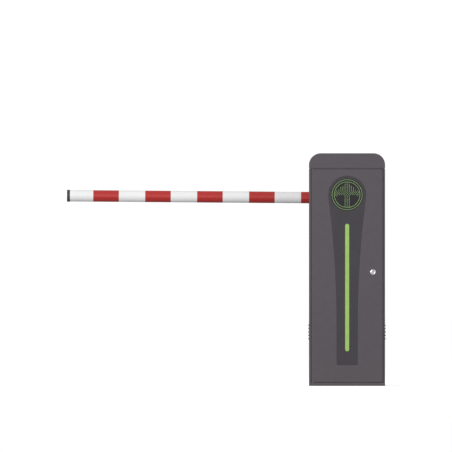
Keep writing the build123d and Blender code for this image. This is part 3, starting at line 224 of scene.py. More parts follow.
# %% [markdown]
# ## Finishes of the boom
#
# The boom is an aluminium tube in glossy white powder coat, with wraps of red reflective film. The film holds tiny
# glass prisms in cells about 3 mm wide whose borders show as a faint net. A Voronoi pattern draws those cells.

# %% White boom, red film and end cap
white, tree, shader, place = start_finish("glossy_white_powder_coat", "#EFEFF0", 0.3)
uneven_colour(tree, shader, place, "#ECECED", "#F2F2F3", 70)
raised_grain(tree, shader, place, 2.4, 0.012, 0.26, 0.34)

film_red, tree, shader, place = start_finish("prismatic_red_film", "#B02422", 0.42, settings={"Coat Weight": 0.1})
cells = add_node(
    tree, "ShaderNodeTexVoronoi", {"Vector": place, "Scale": 1000 / 3.0, "Randomness": 0.2}, feature="DISTANCE_TO_EDGE"
)
net = add_node(tree, "ShaderNodeMapRange", {0: cells.outputs["Distance"], 1: 0.02, 2: 0.1})
reds = add_node(
    tree, "ShaderNodeMix", {0: net.outputs[0], 6: colour("#BE3632"), 7: colour("#AE1E1C")}, data_type="RGBA"
)
tree.links.new(reds.outputs[2], shader.inputs["Base Color"])
raised = add_node(tree, "ShaderNodeBump", {"Height": net.outputs[0], "Strength": 0.6, "Distance": 0.03 * MM})
tree.links.new(raised.outputs["Normal"], shader.inputs["Normal"])

cap_plastic, tree, shader, place = start_finish("moulded_polyethylene", "#3A383D", 0.5, settings={"IOR": 1.51})
uneven_colour(tree, shader, place, "#37353A", "#3E3C41", 20)
raised_grain(tree, shader, place, 0.9, 0.02, 0.48, 0.6)
print("made", white.name, film_red.name, cap_plastic.name)

# %% [markdown]
# ## Finishes of the machine
#
# Inside, sheet parts are galvanised, and zinc freezes into large flat crystals, each a slightly different grey. Bolts
# and pins are plated plain. Shafts are turned, so their gloss is drawn out in rings round the axis: here the shafts
# lie along Y, and squeezing the pattern along Y gives those rings. The lock is satin chrome, so it shines brightly but
# mirrors nothing clearly. A metal's colour is its reflection, so it keeps the shader's default IOR.

# %% Zinc, turned steel and chrome
zinc, tree, shader, place = start_finish("galvanised_steel", "#B4B7BA", 0.42, 1.0)
crystals = add_node(tree, "ShaderNodeTexVoronoi", {"Vector": place, "Scale": 1000 / 9.0})
shade = add_node(tree, "ShaderNodeSeparateColor", {0: crystals.outputs["Color"]})
greys = add_node(
    tree, "ShaderNodeMix", {0: shade.outputs[0], 6: colour("#A9ACB0"), 7: colour("#C3C6C8")}, data_type="RGBA"
)
tree.links.new(greys.outputs[2], shader.inputs["Base Color"])
gloss = add_node(tree, "ShaderNodeMapRange", {0: shade.outputs[1], 3: 0.34, 4: 0.5})
tree.links.new(gloss.outputs[0], shader.inputs["Roughness"])
scratches = add_node(tree, "ShaderNodeTexNoise", {"Vector": place, "Scale": 1000 / 1.5, "Detail": 3.0})
relief = add_node(tree, "ShaderNodeBump", {"Height": scratches.outputs["Fac"], "Distance": 0.01 * MM})
tree.links.new(relief.outputs["Normal"], shader.inputs["Normal"])

turned, tree, shader, place = start_finish("turned_steel", "#A6A8AA", 0.3, 1.0)
drawn = add_node(tree, "ShaderNodeMapping", {"Vector": place, "Scale": (0.04, 1.0, 0.04)})
uneven_colour(tree, shader, drawn.outputs[0], "#9C9EA0", "#B2B4B6", 1.2)
raised_grain(tree, shader, drawn.outputs[0], 0.5, 0.004, 0.24, 0.36)

chrome, tree, shader, place = start_finish("satin_chrome_plate", "#F2F2F4", 0.3, 1.0)
uneven_colour(tree, shader, place, "#EFEFF1", "#F5F5F7", 6)
raised_grain(tree, shader, place, 4.0, 0.002, 0.26, 0.34)
print("made", zinc.name, turned.name, chrome.name)

# %% [markdown]
# The gearbox and bearing blocks are sand-cast aluminium, rough to the touch, and the levers and motor are sprayed
# with machine enamel, which levels out but still shows a soft ripple. The springs are wound from oil-hardened wire
# with a black oxide skin.

# %% Castings, enamel and spring wire
cast, tree, shader, place = start_finish("sand_cast_aluminium", "#A2A4A6", 0.55, 1.0)
uneven_colour(tree, shader, place, "#97999B", "#ADAFB1", 12)
raised_grain(tree, shader, place, 1.4, 0.09, 0.5, 0.66, detail=5.0)

enamel, tree, shader, place = start_finish("machine_enamel", "#2E4756", 0.38, settings={"Coat Weight": 0.3})
uneven_colour(tree, shader, place, "#2B4351", "#324C5C", 40)
raised_grain(tree, shader, place, 3.5, 0.03, 0.32, 0.44)

wire, tree, shader, place = start_finish("black_oxide_wire", "#3A3C40", 0.36, 1.0)
uneven_colour(tree, shader, place, "#323438", "#45474B", 7)
raised_grain(tree, shader, place, 0.6, 0.01, 0.3, 0.45)
print("made", cast.name, enamel.name, wire.name)

# %% [markdown]
# Mouldings get their texture from the mould: spark erosion leaves a fine even grain of about half a millimetre. The
# rubber has a powdery bloom. The circuit boards are green solder resist over copper tracks, which show as slightly
# lighter lines on a 2.54 mm grid, so a brick pattern of that size draws them.

# %% Plastics, rubber and circuit board
moulded = {}
for name, low_hex, high_hex, roughness in (
    ("black_abs", "#262629", "#2C2C30", 0.5),
    ("grey_polycarbonate", "#B0B2B5", "#B8BABC", 0.45),
    ("green_abs", "#1E9A4C", "#24A455", 0.35),
    ("red_abs", "#B02024", "#BA292C", 0.35),
):
    moulded[name], tree, shader, place = start_finish(name, low_hex, roughness, settings={"IOR": 1.53})
    uneven_colour(tree, shader, place, low_hex, high_hex, 18)
    raised_grain(tree, shader, place, 0.6, 0.015, roughness - 0.06, roughness + 0.06)

rubber, tree, shader, place = start_finish("epdm_rubber", "#1B1B1D", 0.75, settings={"IOR": 1.5})
uneven_colour(tree, shader, place, "#18181A", "#222224", 9)
raised_grain(tree, shader, place, 0.8, 0.03, 0.7, 0.85)

board, tree, shader, place = start_finish("green_solder_resist", "#1C5A39", 0.35, settings={"Coat Weight": 0.4})
flat = add_node(tree, "ShaderNodeMapping", {"Vector": place, "Rotation": (math.radians(90), 0, 0)})
tracks = add_node(
    tree,
    "ShaderNodeTexBrick",
    {"Vector": flat.outputs[0], "Color1": colour("#1A5535"), "Color2": colour("#1D5C3A"), "Mortar": colour("#3B8054"),
     "Scale": 1.0, "Mortar Size": 0.3 * MM, "Brick Width": 7.62 * MM, "Row Height": 2.54 * MM},
)
tree.links.new(tracks.outputs["Color"], shader.inputs["Base Color"])
lifted = add_node(tree, "ShaderNodeBump", {"Height": tracks.outputs["Fac"], "Distance": 0.035 * MM})
tree.links.new(lifted.outputs["Normal"], shader.inputs["Normal"])
print("made", list(moulded), rubber.name, board.name)

# %% [markdown]
# The model's record names a material slot for every node. Giving each slot its finish dresses the whole model at
# once, and the pieces made later take theirs from the same table.

# %% Dress every node
finishes = {
    "powder_coat": powder, "inner_paint": inner, "dark_fascia": fascia, "window_tint": window,
    "light_diffuser": diffuser, "light_guides": lamp, "circuit_board": board, "chrome_lock": chrome,
    "zinc_steel": zinc, "turned_steel": turned, "machine_paint": enamel, "cast_aluminium": cast,
    "spring_steel": wire, "rubber": rubber, "black_plastic": moulded["black_abs"],
    "grey_plastic": moulded["grey_polycarbonate"], "green_plastic": moulded["green_abs"],
    "red_plastic": moulded["red_abs"], "boom_white": white, "band_red": film_red, "cap_plastic": cap_plastic,
}
slot_of = {part["node"]: part["material_slot"] for part in frame["record"]["subparts"]}
body_of = {name: body for body, names in frame["record"]["behaviour"]["bodies"].items() for name in names}
for name, node in nodes.items():
    if not node.data.materials:
        node.data.materials.append(None)
    for index in range(len(node.data.materials)):
        node.data.materials[index] = finishes[slot_of[name]]
print("dressed", len(slot_of), "nodes in", len(finishes), "finishes")

# %% [markdown]
# ## Rounded edges
#
# No real edge is perfectly sharp: sheet is folded round a radius, castings have fillets and machined parts are
# broken with a file. The thin line of light on such an edge is what makes metal look like metal. The solid nodes
# themselves stay as they are, so each piece here is a copy: its loose triangles are welded, its flat areas are joined
# into single faces, and every edge sharper than 32 degrees gets a small bevel.

# %% A copy with rounded edges, and the step that turns a mesh into a piece
weld_mm = 0.005
flat_angle = math.radians(0.5)
rounded_from = math.radians(32)
shaded_sharp_from = math.radians(50)


def rounded_copy(node, width_mm, segments=2):
    """Welded copy of a node's mesh with its sharp edges rounded."""
    bm = bmesh.new()
    bm.from_mesh(nodes[node].data)
    bmesh.ops.remove_doubles(bm, verts=bm.verts, dist=weld_mm * MM)
    # The shell's walls are full of louvers, and a single face with so many holes isn't drawn cleanly.
    if node != "cabinet_shell":
        bmesh.ops.dissolve_limit(bm, angle_limit=flat_angle, verts=bm.verts, edges=bm.edges)
    sharp = [edge for edge in bm.edges if edge.is_manifold and edge.calc_face_angle() > rounded_from]
    bmesh.ops.bevel(
        bm, geom=sharp, offset=width_mm * MM, offset_type="OFFSET", segments=segments, profile=0.5,
        affect="EDGES", clamp_overlap=True, material=-1,
    )
    return bm


def finish_piece(bm, name, body, slot, stands_for=(), turn_out=True):
    """Makes an object of a mesh: smooth where it is round, dressed, and moving with its body."""
    if turn_out:
        bmesh.ops.remove_doubles(bm, verts=bm.verts, dist=0.001 * MM)
        bmesh.ops.recalc_face_normals(bm, faces=bm.faces)
    mesh = bpy.data.meshes.new(name)
    bm.to_mesh(mesh)
    bm.free()
    mesh.materials.append(finishes[slot])
    mesh.polygons.foreach_set("use_smooth", [True] * len(mesh.polygons))
    mesh.set_sharp_from_angle(angle=shaded_sharp_from)
    piece = bpy.data.objects.new(name, mesh)
    bpy.context.scene.collection.objects.link(piece)
    # Large flat faces keep their own direction, so that only the rounded edges catch the light.
    flatten = piece.modifiers.new("flat_faces_stay_flat", "WEIGHTED_NORMAL")
    flatten.weight = 100
    flatten.keep_sharp = True
    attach(piece, body)
    if stands_for:
        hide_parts(*stands_for)
    print(f"{name}: {len(mesh.polygons)} faces, moves with {body}")
    return piece


# %% [markdown]
# The radius depends on how a part was made: about 0.4 mm on cut sheet, 0.8 mm on thick plate and bar, 1.2 to 1.6 mm
# on castings, and less on small mouldings than on large ones. One table holds them, and a loop makes the pieces.

# %% Round the edges of sheet, bar, castings and mouldings
edge_radius = {
    # folded and cut sheet
    "cabinet_shell": 0.4, "top_lid": 0.4, "front_door": 0.5, "door_frame": 0.4, "top_frame": 0.4, "base_frame": 0.8,
    "front_frame_plate": 0.8, "rear_frame_plate": 0.8, "shaft_cover": 0.8, "mounting_rail": 0.2,
    # turned and forged steel
    "door_hinge_pins": 0.5, "frame_tie_rods": 0.5, "machine_bolts": 0.5, "main_shaft": 0.8, "rocker_arm": 1.2,
    "spring_cross_pin": 0.6, "limit_disc": 0.5, "crank_arm": 1.2, "output_shaft": 0.6, "connecting_rod": 1.0,
    "spring_anchor_beam": 0.8, "spring_adjusters": 0.4, "lock_nut": 0.5, "lock_cam": 0.5, "lock_plug": 0.2,
    # castings
    "bearing_housings": 1.5, "gearbox_case": 1.6, "gearbox_cover": 1.2,
    # mouldings and glazing
    "door_seal": 1.8, "fascia_panel": 0.35, "light_strip_lens": 0.35, "display_window": 0.15, "stop_buffer": 1.0,
    "control_box": 1.5, "control_box_cover": 1.2, "button_raise": 0.6, "button_stop": 0.6, "button_lower": 0.6,
    "circuit_breaker": 0.8, "breaker_toggle": 0.6, "terminal_blocks": 0.4, "led_boards": 0.1,
    # boom
    "boom_holder_plate": 1.0, "boom_clamps": 1.2, "boom_bolts": 0.6, "boom_tube": 0.3, "boom_end_cap": 0.5,
    "boom_root_plug": 0.8, "reflective_bands": 0.1,
}
for node, radius in edge_radius.items():
    segments = 4 if node == "door_seal" else 2
    finish_piece(rounded_copy(node, radius, segments), node + "_rounded", body_of[node], slot_of[node], [node], False)

# %% [markdown]
# ## Shapes that the details are made of
#
# Screws, collars and fins come down to three shapes: a block, a rod between two points, and a profile turned on a
# lathe. Each starts from one of bmesh's own operators. Sizes are in millimetres, as on a drawing.

# %% Block, rod and turned profile
def point(x, y, z):
    return Vector((x, y, z)) * MM


def add_block(bm, low, high, edge=0.0):
    """A block between two corners, with its edges rounded by a radius."""
    low, high = Vector(low), Vector(high)
    made = bmesh.ops.create_cube(
        bm, size=MM, matrix=Matrix.Translation((low + high) / 2 * MM) @ Matrix.Diagonal((*(high - low), 1.0))
    )
    if edge:
        edges = list({e for v in made["verts"] for e in v.link_edges})
        bmesh.ops.bevel(
            bm, geom=edges, offset=edge * MM, offset_type="OFFSET", segments=2, profile=0.5, affect="EDGES",
            clamp_overlap=True, material=-1,
        )


def add_rod(bm, start, end, radius, segments=16):
    """A round rod from one point to another."""
    start, end = Vector(start) * MM, Vector(end) * MM
    along = end - start
    bmesh.ops.create_cone(
        bm, cap_ends=True, segments=segments, radius1=radius * MM, radius2=radius * MM, depth=along.length,
        matrix=Matrix.Translation((start + end) / 2) @ along.to_track_quat("Z", "Y").to_matrix().to_4x4(),
    )


def add_turned(bm, profile, centre, out, steps=32):
    """A profile of (radius, distance out) points, spun round the line through centre along out."""
    centre, out = Vector(centre) * MM, Vector(out).normalized()
    side = out.orthogonal().normalized()
    corners = [bm.verts.new(centre + (side * radius + out * along) * MM) for radius, along in profile]
    edges = [bm.edges.new(pair) for pair in zip(corners, corners[1:])]
    bmesh.ops.spin(
        bm, geom=corners + edges, cent=centre, axis=out, angle=math.tau, steps=steps, use_merge=True,
        use_duplicate=False,
    )


def add_screw(bm, centre, out, radius, height):
    """A pan head with a round socket in its top."""
    add_turned(
        bm,
        [(0, -height), (radius, -height), (radius, height * 0.35), (radius * 0.82, height * 0.85),
         (radius * 0.5, height), (radius * 0.4, height), (radius * 0.36, height * 0.35), (0, height * 0.3)],
        centre, out, 20,
    )


front_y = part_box("front_door")[0].y / MM
print("front of the door at y =", round(front_y, 1), "mm")

# %% [markdown]
# ## The display
#
# The round display is a board of green diodes behind the smoked window, and each diode shines through a small clear
# dome. Two rings of them frame an arrow that points up while the boom may pass. The arrow is drawn by upright rows,
# with a band of staggered lamps where its head ends. The domes are many, so each is a flattened ball of 48 faces.

# %% Lamps of the rings and the arrow
window_low, window_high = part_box("display_window")
head_x = (window_low.x + window_high.x) / 2 / MM
head_z = (window_low.z + window_high.z) / 2 / MM
window_y = window_low.y / MM
arrow_low, arrow_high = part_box("display_arrow")
ring_low, ring_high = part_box("display_rings")
ring_width = 4.0
ring_radius = (ring_high.x - ring_low.x) / 2 / MM - ring_width / 2
ring_gap = 9.5
lamp_pitch = 4.6
lamp_radius = 1.4


def add_lamp(bm, x, z):
    place = Matrix.Translation(point(head_x + x, window_y + 0.05, head_z + z))
    bmesh.ops.create_uvsphere(
        bm, u_segments=8, v_segments=6, radius=lamp_radius * MM,
        matrix=place @ Matrix.Rotation(math.radians(90), 4, "X") @ Matrix.Diagonal((1, 1, 0.3, 1)),
    )


bm = bmesh.new()
for radius in (ring_radius, ring_radius - ring_gap):
    count = round(math.tau * radius / lamp_pitch)
    for number in range(count):
        angle = math.tau * number / count
        add_lamp(bm, radius * math.sin(angle), radius * math.cos(angle))
finish_piece(bm, "ring_lamps", "door", "light_guides", ["display_rings"])

# %% Arrow lamps
half_columns = 5
row_pitch = 5.05
band_rows = 3
head_bottom = 0.1
head_slope = 7.2  # how much shorter each column is than the one nearer the middle
rise = arrow_high.z / MM - head_z
stem = head_z - arrow_low.z / MM
bm = bmesh.new()
for column in range(-half_columns, half_columns + 1):
    x = column * 2 * lamp_pitch
    z = head_bottom + band_rows * row_pitch
    while z < rise - head_slope * abs(column):
        add_lamp(bm, x, z)
        z += row_pitch
    add_lamp(bm, x, head_bottom + row_pitch)
    if abs(column) == half_columns:
        add_lamp(bm, x, head_bottom - row_pitch)
    if abs(column) <= 1:
        z = head_bottom - row_pitch
        while z > -stem:
            add_lamp(bm, x, z)
            z -= row_pitch
for half_step in range(-2 * half_columns - 1, 2 * half_columns + 2, 2):
    for row in (0, 2):
        add_lamp(bm, half_step * lamp_pitch, head_bottom + row * row_pitch)
finish_piece(bm, "arrow_lamps", "door", "light_guides", ["display_arrow"])

# %% [markdown]
# Behind the fascia the boards carry drivers, resistors and two plugs. They are only seen when the door is open, but
# then they are the first thing one sees. Their places come from a seeded random row, so they are the same each time.

# %% Parts on the boards
random.seed(7)
board_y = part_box("led_boards")[1].y / MM
part_sizes = ((2.4, 1.6), (4.0, 5.0), (1.6, 3.2), (6.5, 4.0))  # half widths and half heights
first_ring, ring_step = 18, 17
resistors, first_resistor, resistor_pitch = 28, 24, 18.5
bm = bmesh.new()
for ring in range(3):
    for number in range(8 + 5 * ring):
        angle = math.tau * (number + random.uniform(-0.2, 0.2)) / (8 + 5 * ring)
        radius = first_ring + ring_step * ring
        x, z = head_x + radius * math.cos(angle), head_z + radius * math.sin(angle)
        wide, high = random.choice(part_sizes)
        add_block(bm, (x - wide, board_y - 0.4, z - high), (x + wide, board_y + 1.6, z + high), 0.25)
strip_low, strip_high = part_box("light_strip_lens")
for number in range(resistors):
    z = strip_low.z / MM + first_resistor + number * resistor_pitch
    add_block(bm, (-2.2, board_y - 0.4, z), (2.2, board_y + 1.1, z + 3.4), 0.2)
finish_piece(bm, "board_components", "door", "black_plastic")
bm = bmesh.new()
for z in (head_z, strip_high.z / MM - 30):
    add_block(bm, (-6, board_y - 0.4, z - 3.5), (6, board_y + 4.2, z + 3.5), 0.5)
finish_piece(bm, "board_plugs", "door", "grey_plastic")

# %% [markdown]
# ## The lock
#
# A cam lock shows a domed chrome bezel with a rolled lip round its plug. That is a turned shape, so a profile of
# a few points is spun round the lock's axis. The barrel behind it is threaded, and a helix cut would be lost at this
# size, so its thread is drawn as rings.

# %% Bezel and threaded barrel
lock_low, lock_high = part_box("lock_body")
lock_x = (lock_low.x + lock_high.x) / 2 / MM
lock_z = (lock_low.z + lock_high.z) / 2 / MM
lip, tail = front_y - lock_low.y / MM, front_y - lock_high.y / MM  # both measured out of the door
bore, barrel, bezel = 6.1, 9.0, 12.5
thread_depth, thread_pitch = 0.5, 1.5
profile = [(bore, tail), (bore, lip - 1.2), (7.0, lip - 0.4), (8.2, lip), (9.6, lip - 0.15), (11.0, lip - 0.7),
           (12.1, lip - 1.7), (bezel, lip - 2.7), (bezel, 0.0), (barrel, 0.0)]
depth = 0.0
while depth > tail + 2 * thread_pitch:
    profile += [(barrel, depth - 0.3), (barrel - thread_depth, depth - 0.8), (barrel, depth - 1.3)]
    depth -= thread_pitch
profile += [(barrel, tail + 0.8), (barrel - 0.6, tail), (bore, tail)]
bm = bmesh.new()
add_turned(bm, profile, (lock_x, front_y, lock_z), (0, -1, 0), 48)
finish_piece(bm, "lock_bezel_and_barrel", "door", "chrome_lock", ["lock_body"])

# %% [markdown]
# ## Balance springs
#
# Two long tension springs carry the weight of the boom. A helix is a spin that also climbs: the wire's round section
# is spun 30 turns, and every step lifts it a little. A straight end runs up beside the pin, and a separate eye sits
# round the pin. The coils and the lower eyes stay with the cabinet, while the upper eyes move with the boom.

# %% Coils
wire_radius = 2.0
eye_half = 9.3
coil_turns = 30
steps_per_turn = 20
lower_end, upper_end = 22, 26  # straight wire between each eye and the coil
spring_ends = {}
for node in ("balance_spring_front", "balance_spring_rear"):
    low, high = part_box(node)
    x, y = (low.x + high.x) / 2 / MM, (low.y + high.y) / 2 / MM
    foot, head = low.z / MM + eye_half, high.z / MM - eye_half
    spring_ends[node] = (x, y, foot, head)
    coil_radius = (high.x - low.x) / 2 / MM - wire_radius
    bottom, top = foot + lower_end, head - upper_end
    steps = coil_turns * steps_per_turn
    bm = bmesh.new()
    ring = bmesh.ops.create_circle(
        bm, cap_ends=False, segments=8, radius=wire_radius * MM,
        matrix=Matrix.Translation(point(x + coil_radius, y, bottom)) @ Matrix.Rotation(math.radians(90), 4, "X"),
    )["verts"]
    edges = list({edge for vert in ring for edge in vert.link_edges})
    bmesh.ops.spin(
        bm, geom=ring + edges, cent=point(x, y, 0), axis=(0, 0, 1), dvec=(0, 0, (top - bottom) / steps * MM),
        angle=math.tau * coil_turns, steps=steps, use_merge=False, use_duplicate=False,
    )
    bmesh.ops.holes_fill(bm, edges=[edge for edge in bm.edges if edge.is_boundary], sides=8)
    eye_radius = eye_half - wire_radius
    for start, end in ((bottom, foot), (top, head)):
        bend = start + (end - start) * 0.4
        add_rod(bm, (x + coil_radius, y, start), (x + eye_radius, y, bend), wire_radius, 12)
        bmesh.ops.create_uvsphere(
            bm, u_segments=12, v_segments=8, radius=wire_radius * MM,
            matrix=Matrix.Translation(point(x + eye_radius, y, bend)),
        )
        add_rod(bm, (x + eye_radius, y, bend), (x + eye_radius, y, end), wire_radius, 12)
    spring = finish_piece(bm, node + "_coil", "cabinet", "spring_steel", [node])
    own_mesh(spring)

# %% Eyes round the pins
for node, (x, y, foot, head) in spring_ends.items():
    for name, height, body in (("upper_eye", head, "boom"), ("lower_eye", foot, "cabinet")):
        bm = bmesh.new()
        round_wire = bmesh.ops.create_circle(
            bm, cap_ends=False, segments=12, radius=wire_radius * MM,
            matrix=Matrix.Translation(point(x + eye_half - wire_radius, y, height)),
        )["verts"]
        edges = list({edge for vert in round_wire for edge in vert.link_edges})
        bmesh.ops.spin(
            bm, geom=round_wire + edges, cent=point(x, y, height), axis=(0, 1, 0), angle=math.tau, steps=36,
            use_merge=True, use_duplicate=False,
        )
        finish_piece(bm, node + "_" + name, body, "spring_steel")

# %% [markdown]
# ## Motor and gearbox
#
# The motor's housing is an aluminium extrusion with cooling fins between two plain end bells. Cutting the round side
# at both bells and sinking every second strip between the cuts gives the fins. The hand wheel's grip is cut the same
# way, which is how a knurl is drawn when it has to be seen.

# %% Fins of the motor and grip of the hand wheel
def sink_strips(bm, centre_x, centre_z, low_y, high_y, depth_mm, margin_mm):
    """Sinks every second side face of a cylinder along Y between two depths."""
    for y, out in ((low_y, -1), (high_y, 1)):
        bmesh.ops.bisect_plane(
            bm, geom=bm.verts[:] + bm.edges[:] + bm.faces[:], dist=1e-7, plane_co=point(0, y, 0), plane_no=(0, out, 0)
        )
    radius = max((Vector((v.co.x, v.co.z)) - Vector((centre_x, centre_z)) * MM).length for v in bm.verts)
    around = []
    for face in bm.faces:
        middle = face.calc_center_median()
        away = Vector((middle.x, middle.z)) - Vector((centre_x, centre_z)) * MM
        if abs(face.normal.y) < 0.1 and low_y * MM < middle.y < high_y * MM and away.length > radius * 0.97:
            around.append((math.atan2(away.y, away.x), face))
    around.sort(key=lambda pair: pair[0])
    chosen = [face for _, face in around][::2]
    bmesh.ops.inset_individual(bm, faces=chosen, thickness=margin_mm * MM, depth=-depth_mm * MM)
    return len(chosen)


low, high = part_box("motor_body")
motor_x, motor_z = (low.x + high.x) / 2 / MM, (low.z + high.z) / 2 / MM
end_bell = 13.0
wheel_rim = 1.2
bm = rounded_copy("motor_body", 1.5)
fins = sink_strips(bm, motor_x, motor_z, low.y / MM + end_bell, high.y / MM - end_bell, 3.0, 0.4)
finish_piece(bm, "motor_housing", "cabinet", slot_of["motor_body"], ["motor_body"], False)
low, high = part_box("hand_wheel")
bm = rounded_copy("hand_wheel", 0.8)
grips = sink_strips(bm, motor_x, motor_z, low.y / MM + wheel_rim, high.y / MM - wheel_rim, 1.2, 0.3)
finish_piece(bm, "hand_wheel_rounded", "rotor", slot_of["hand_wheel"], ["hand_wheel"], False)
print(fins, "fins and", grips, "grips")

# %% [markdown]
# The gearbox cover has bosses where the shafts run, ribs that stiffen it between them, a filler plug above and a
# sight glass for the oil below. Four long screws hold the motor's end bell.

# %% Bosses, ribs, plugs and motor screws
cover_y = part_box("gearbox_cover")[0].y / MM
output_shaft_radius = 10.0
shaft_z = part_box("output_shaft")[0].z / MM + output_shaft_radius
rib_reach = 46.0
rib_radius = 2.4
bm = bmesh.new()
for z, radius in ((shaft_z, 25.0), ((shaft_z + motor_z) / 2, 15.0)):
    add_turned(bm, [(0, -1), (radius, -1), (radius, 2.4), (radius - 1.6, 4), (radius * 0.55, 4), (radius * 0.5, 2.6),
                    (0, 2.6)], (0, cover_y, z), (0, -1, 0), 40)
for angle in range(30, 180, 30):
    x, z = rib_reach * math.cos(math.radians(angle)), rib_reach * math.sin(math.radians(angle))
    add_rod(bm, (0.5 * x, cover_y, shaft_z + 0.5 * z), (x, cover_y, shaft_z + z), rib_radius, 12)
# two long ribs run from the upper boss down past the lower one
for side in (-1, 1):
    add_rod(bm, (side * 20, cover_y, shaft_z - 16), (side * 34, cover_y, motor_z + 26), rib_radius, 12)
finish_piece(bm, "gearbox_bosses", "cabinet", "cast_aluminium")
oil_side = 47
filler_plug = [(0, -1), (6.5, -1), (6.5, 4), (5.5, 5), (3.4, 5), (3.2, 2.5), (0, 2.5)]
sight_glass = [(0, -1), (7.5, -1), (7.5, 2), (6.6, 2.8), (5, 2.8), (4.8, 1.2), (0, 1.8)]
bm = bmesh.new()
add_turned(bm, filler_plug, (oil_side, cover_y, shaft_z + 42), (0, -1, 0), 6)
add_turned(bm, sight_glass, (oil_side, cover_y, motor_z + 12), (0, -1, 0), 32)
motor_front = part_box("motor_body")[0].y / MM
motor_screw_circle = 30
for angle in (45, 135, 225, 315):
    x = motor_x + motor_screw_circle * math.cos(math.radians(angle))
    z = motor_z + motor_screw_circle * math.sin(math.radians(angle))
    add_screw(bm, (x, motor_front, z), (0, -1, 0), 3.0, 1.6)
finish_piece(bm, "gearbox_plug_and_screws", "cabinet", "zinc_steel")

# %% [markdown]
# Each bearing block is greased through a nipple on top: a hexagon, a neck and a ball. They are tiny turned shapes.

# %% Grease nipples
low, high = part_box("bearing_housings")
boom_z = (low.z + high.z) / 2 / MM
hexagon = [(0, 28), (3.6, 28), (3.6, 33), (3.0, 33.6)]
neck_and_ball = [(3.0, 33.4), (1.6, 34.2), (1.4, 36), (2.1, 37.2), (1.9, 38.6), (0, 39)]
bm = bmesh.new()
for y in (low.y / MM + 4, high.y / MM - 4):
    add_turned(bm, hexagon, (0, y, boom_z), (0, 0, 1), 6)
    add_turned(bm, neck_and_ball, (0, y, boom_z), (0, 0, 1), 16)
finish_piece(bm, "grease_nipples", "cabinet", "turned_steel")

# %% [markdown]
# ## Control box, power supply and rail
#
# The control box is a polycarbonate case. Screws hold its cover, and a collar guards each push button so that it
# can't be pressed by a sleeve. The buttons carry a raised arrow up, a square and an arrow down.

# %% Cover screws, collars and button signs
low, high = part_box("control_box_cover")
screw_inset = 9
bm = bmesh.new()
for x in (low.x / MM + screw_inset, high.x / MM - screw_inset):
    for z in (low.z / MM + screw_inset, high.z / MM - screw_inset):
        add_screw(bm, (x, low.y / MM, z), (0, -1, 0), 3.6, 1.5)
finish_piece(bm, "cover_screws", "cabinet", "zinc_steel")
collar = [(12.6, -0.5), (15.5, -0.5), (15.5, 2.0), (14.8, 3.2), (13.4, 3.4), (12.6, 2.8), (12.6, -0.5)]
bm = bmesh.new()
for button in ("button_raise", "button_stop", "button_lower"):
    b_low, b_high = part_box(button)
    x, z = (b_low.x + b_high.x) / 2 / MM, (b_low.z + b_high.z) / 2 / MM
    add_turned(bm, collar, (x, low.y / MM, z), (0, -1, 0), 40)
finish_piece(bm, "button_collars", "cabinet", "black_plastic")
# A sign is a flat cone: three corners make an arrow, and four corners turned by 45 degrees make a square.
for button, corners, turn in (("button_raise", 3, 0), ("button_stop", 4, 45), ("button_lower", 3, 180)):
    b_low, b_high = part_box(button)
    x, z = (b_low.x + b_high.x) / 2 / MM, (b_low.z + b_high.z) / 2 / MM
    bm = bmesh.new()
    bmesh.ops.create_cone(
        bm, cap_ends=True, segments=corners, radius1=5.0 * MM, radius2=4.6 * MM, depth=0.5 * MM,
        matrix=Matrix.Translation(point(x, b_low.y / MM + 0.2, z)) @ Matrix.Rotation(math.radians(90), 4, "X")
        @ Matrix.Rotation(math.radians(turn), 4, "Z"),
    )
    finish_piece(bm, button + "_sign", body_of[button], "grey_plastic")

# %% [markdown]
# The power supply's case is perforated so that air passes. A grid of cells makes its front; insetting cells with
# depth sinks the slots, and pulling the grid's border back gives the sides.

# %% Perforated case of the power supply
low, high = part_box("power_supply")
size = high - low
bm = bmesh.new()
bmesh.ops.create_grid(
    bm, x_segments=25, y_segments=9, size=0.5,
    matrix=Matrix.Translation(((low.x + high.x) / 2, low.y, (low.z + high.z) / 2))
    @ Matrix.Rotation(math.radians(90), 4, "X") @ Matrix.Diagonal((size.x, size.z, 1, 1)),
)
border = [edge for edge in bm.edges if edge.is_boundary]
cells = []
for face in bm.faces:
    middle = face.calc_center_median() - low
    # The right end stays plain for the terminals.
    if 0.08 < middle.x / size.x < 0.7 and 0.12 < middle.z / size.z < 0.88:
        cells.append(face)
pulled = bmesh.ops.extrude_edge_only(bm, edges=border)["geom"]
moved = [item for item in pulled if isinstance(item, bmesh.types.BMVert)]
bmesh.ops.translate(bm, verts=moved, vec=(0, size.y, 0))
bmesh.ops.holes_fill(bm, edges=[edge for edge in bm.edges if edge.is_boundary], sides=0)
bmesh.ops.recalc_face_normals(bm, faces=bm.faces)
bmesh.ops.inset_individual(bm, faces=cells, thickness=1.3 * MM, depth=-2.0 * MM)
finish_piece(bm, "power_supply_case", "cabinet", slot_of["power_supply"], ["power_supply"], False)

# %% Terminals of the power supply
bm = bmesh.new()
right = high.x / MM
add_block(bm, (right - 40, low.y / MM - 5, low.z / MM + 8), (right - 6, low.y / MM + 1, high.z / MM - 8), 0.8)
finish_piece(bm, "supply_terminal_strip", "cabinet", "black_plastic")
bm = bmesh.new()
supply_terminals, first_terminal, terminal_pitch = 7, 15, 11.3
for number in range(supply_terminals):
    z = low.z / MM + first_terminal + number * terminal_pitch
    add_screw(bm, (right - 23, low.y / MM - 5, z), (0, -1, 0), 3.4, 1.3)
finish_piece(bm, "supply_terminal_screws", "cabinet", "zinc_steel")

# %% [markdown]
# On the rail, every terminal has a clamping screw above and below, and the breaker has two of each. They sit on the
# lower steps of their blocks, a little behind the middle.

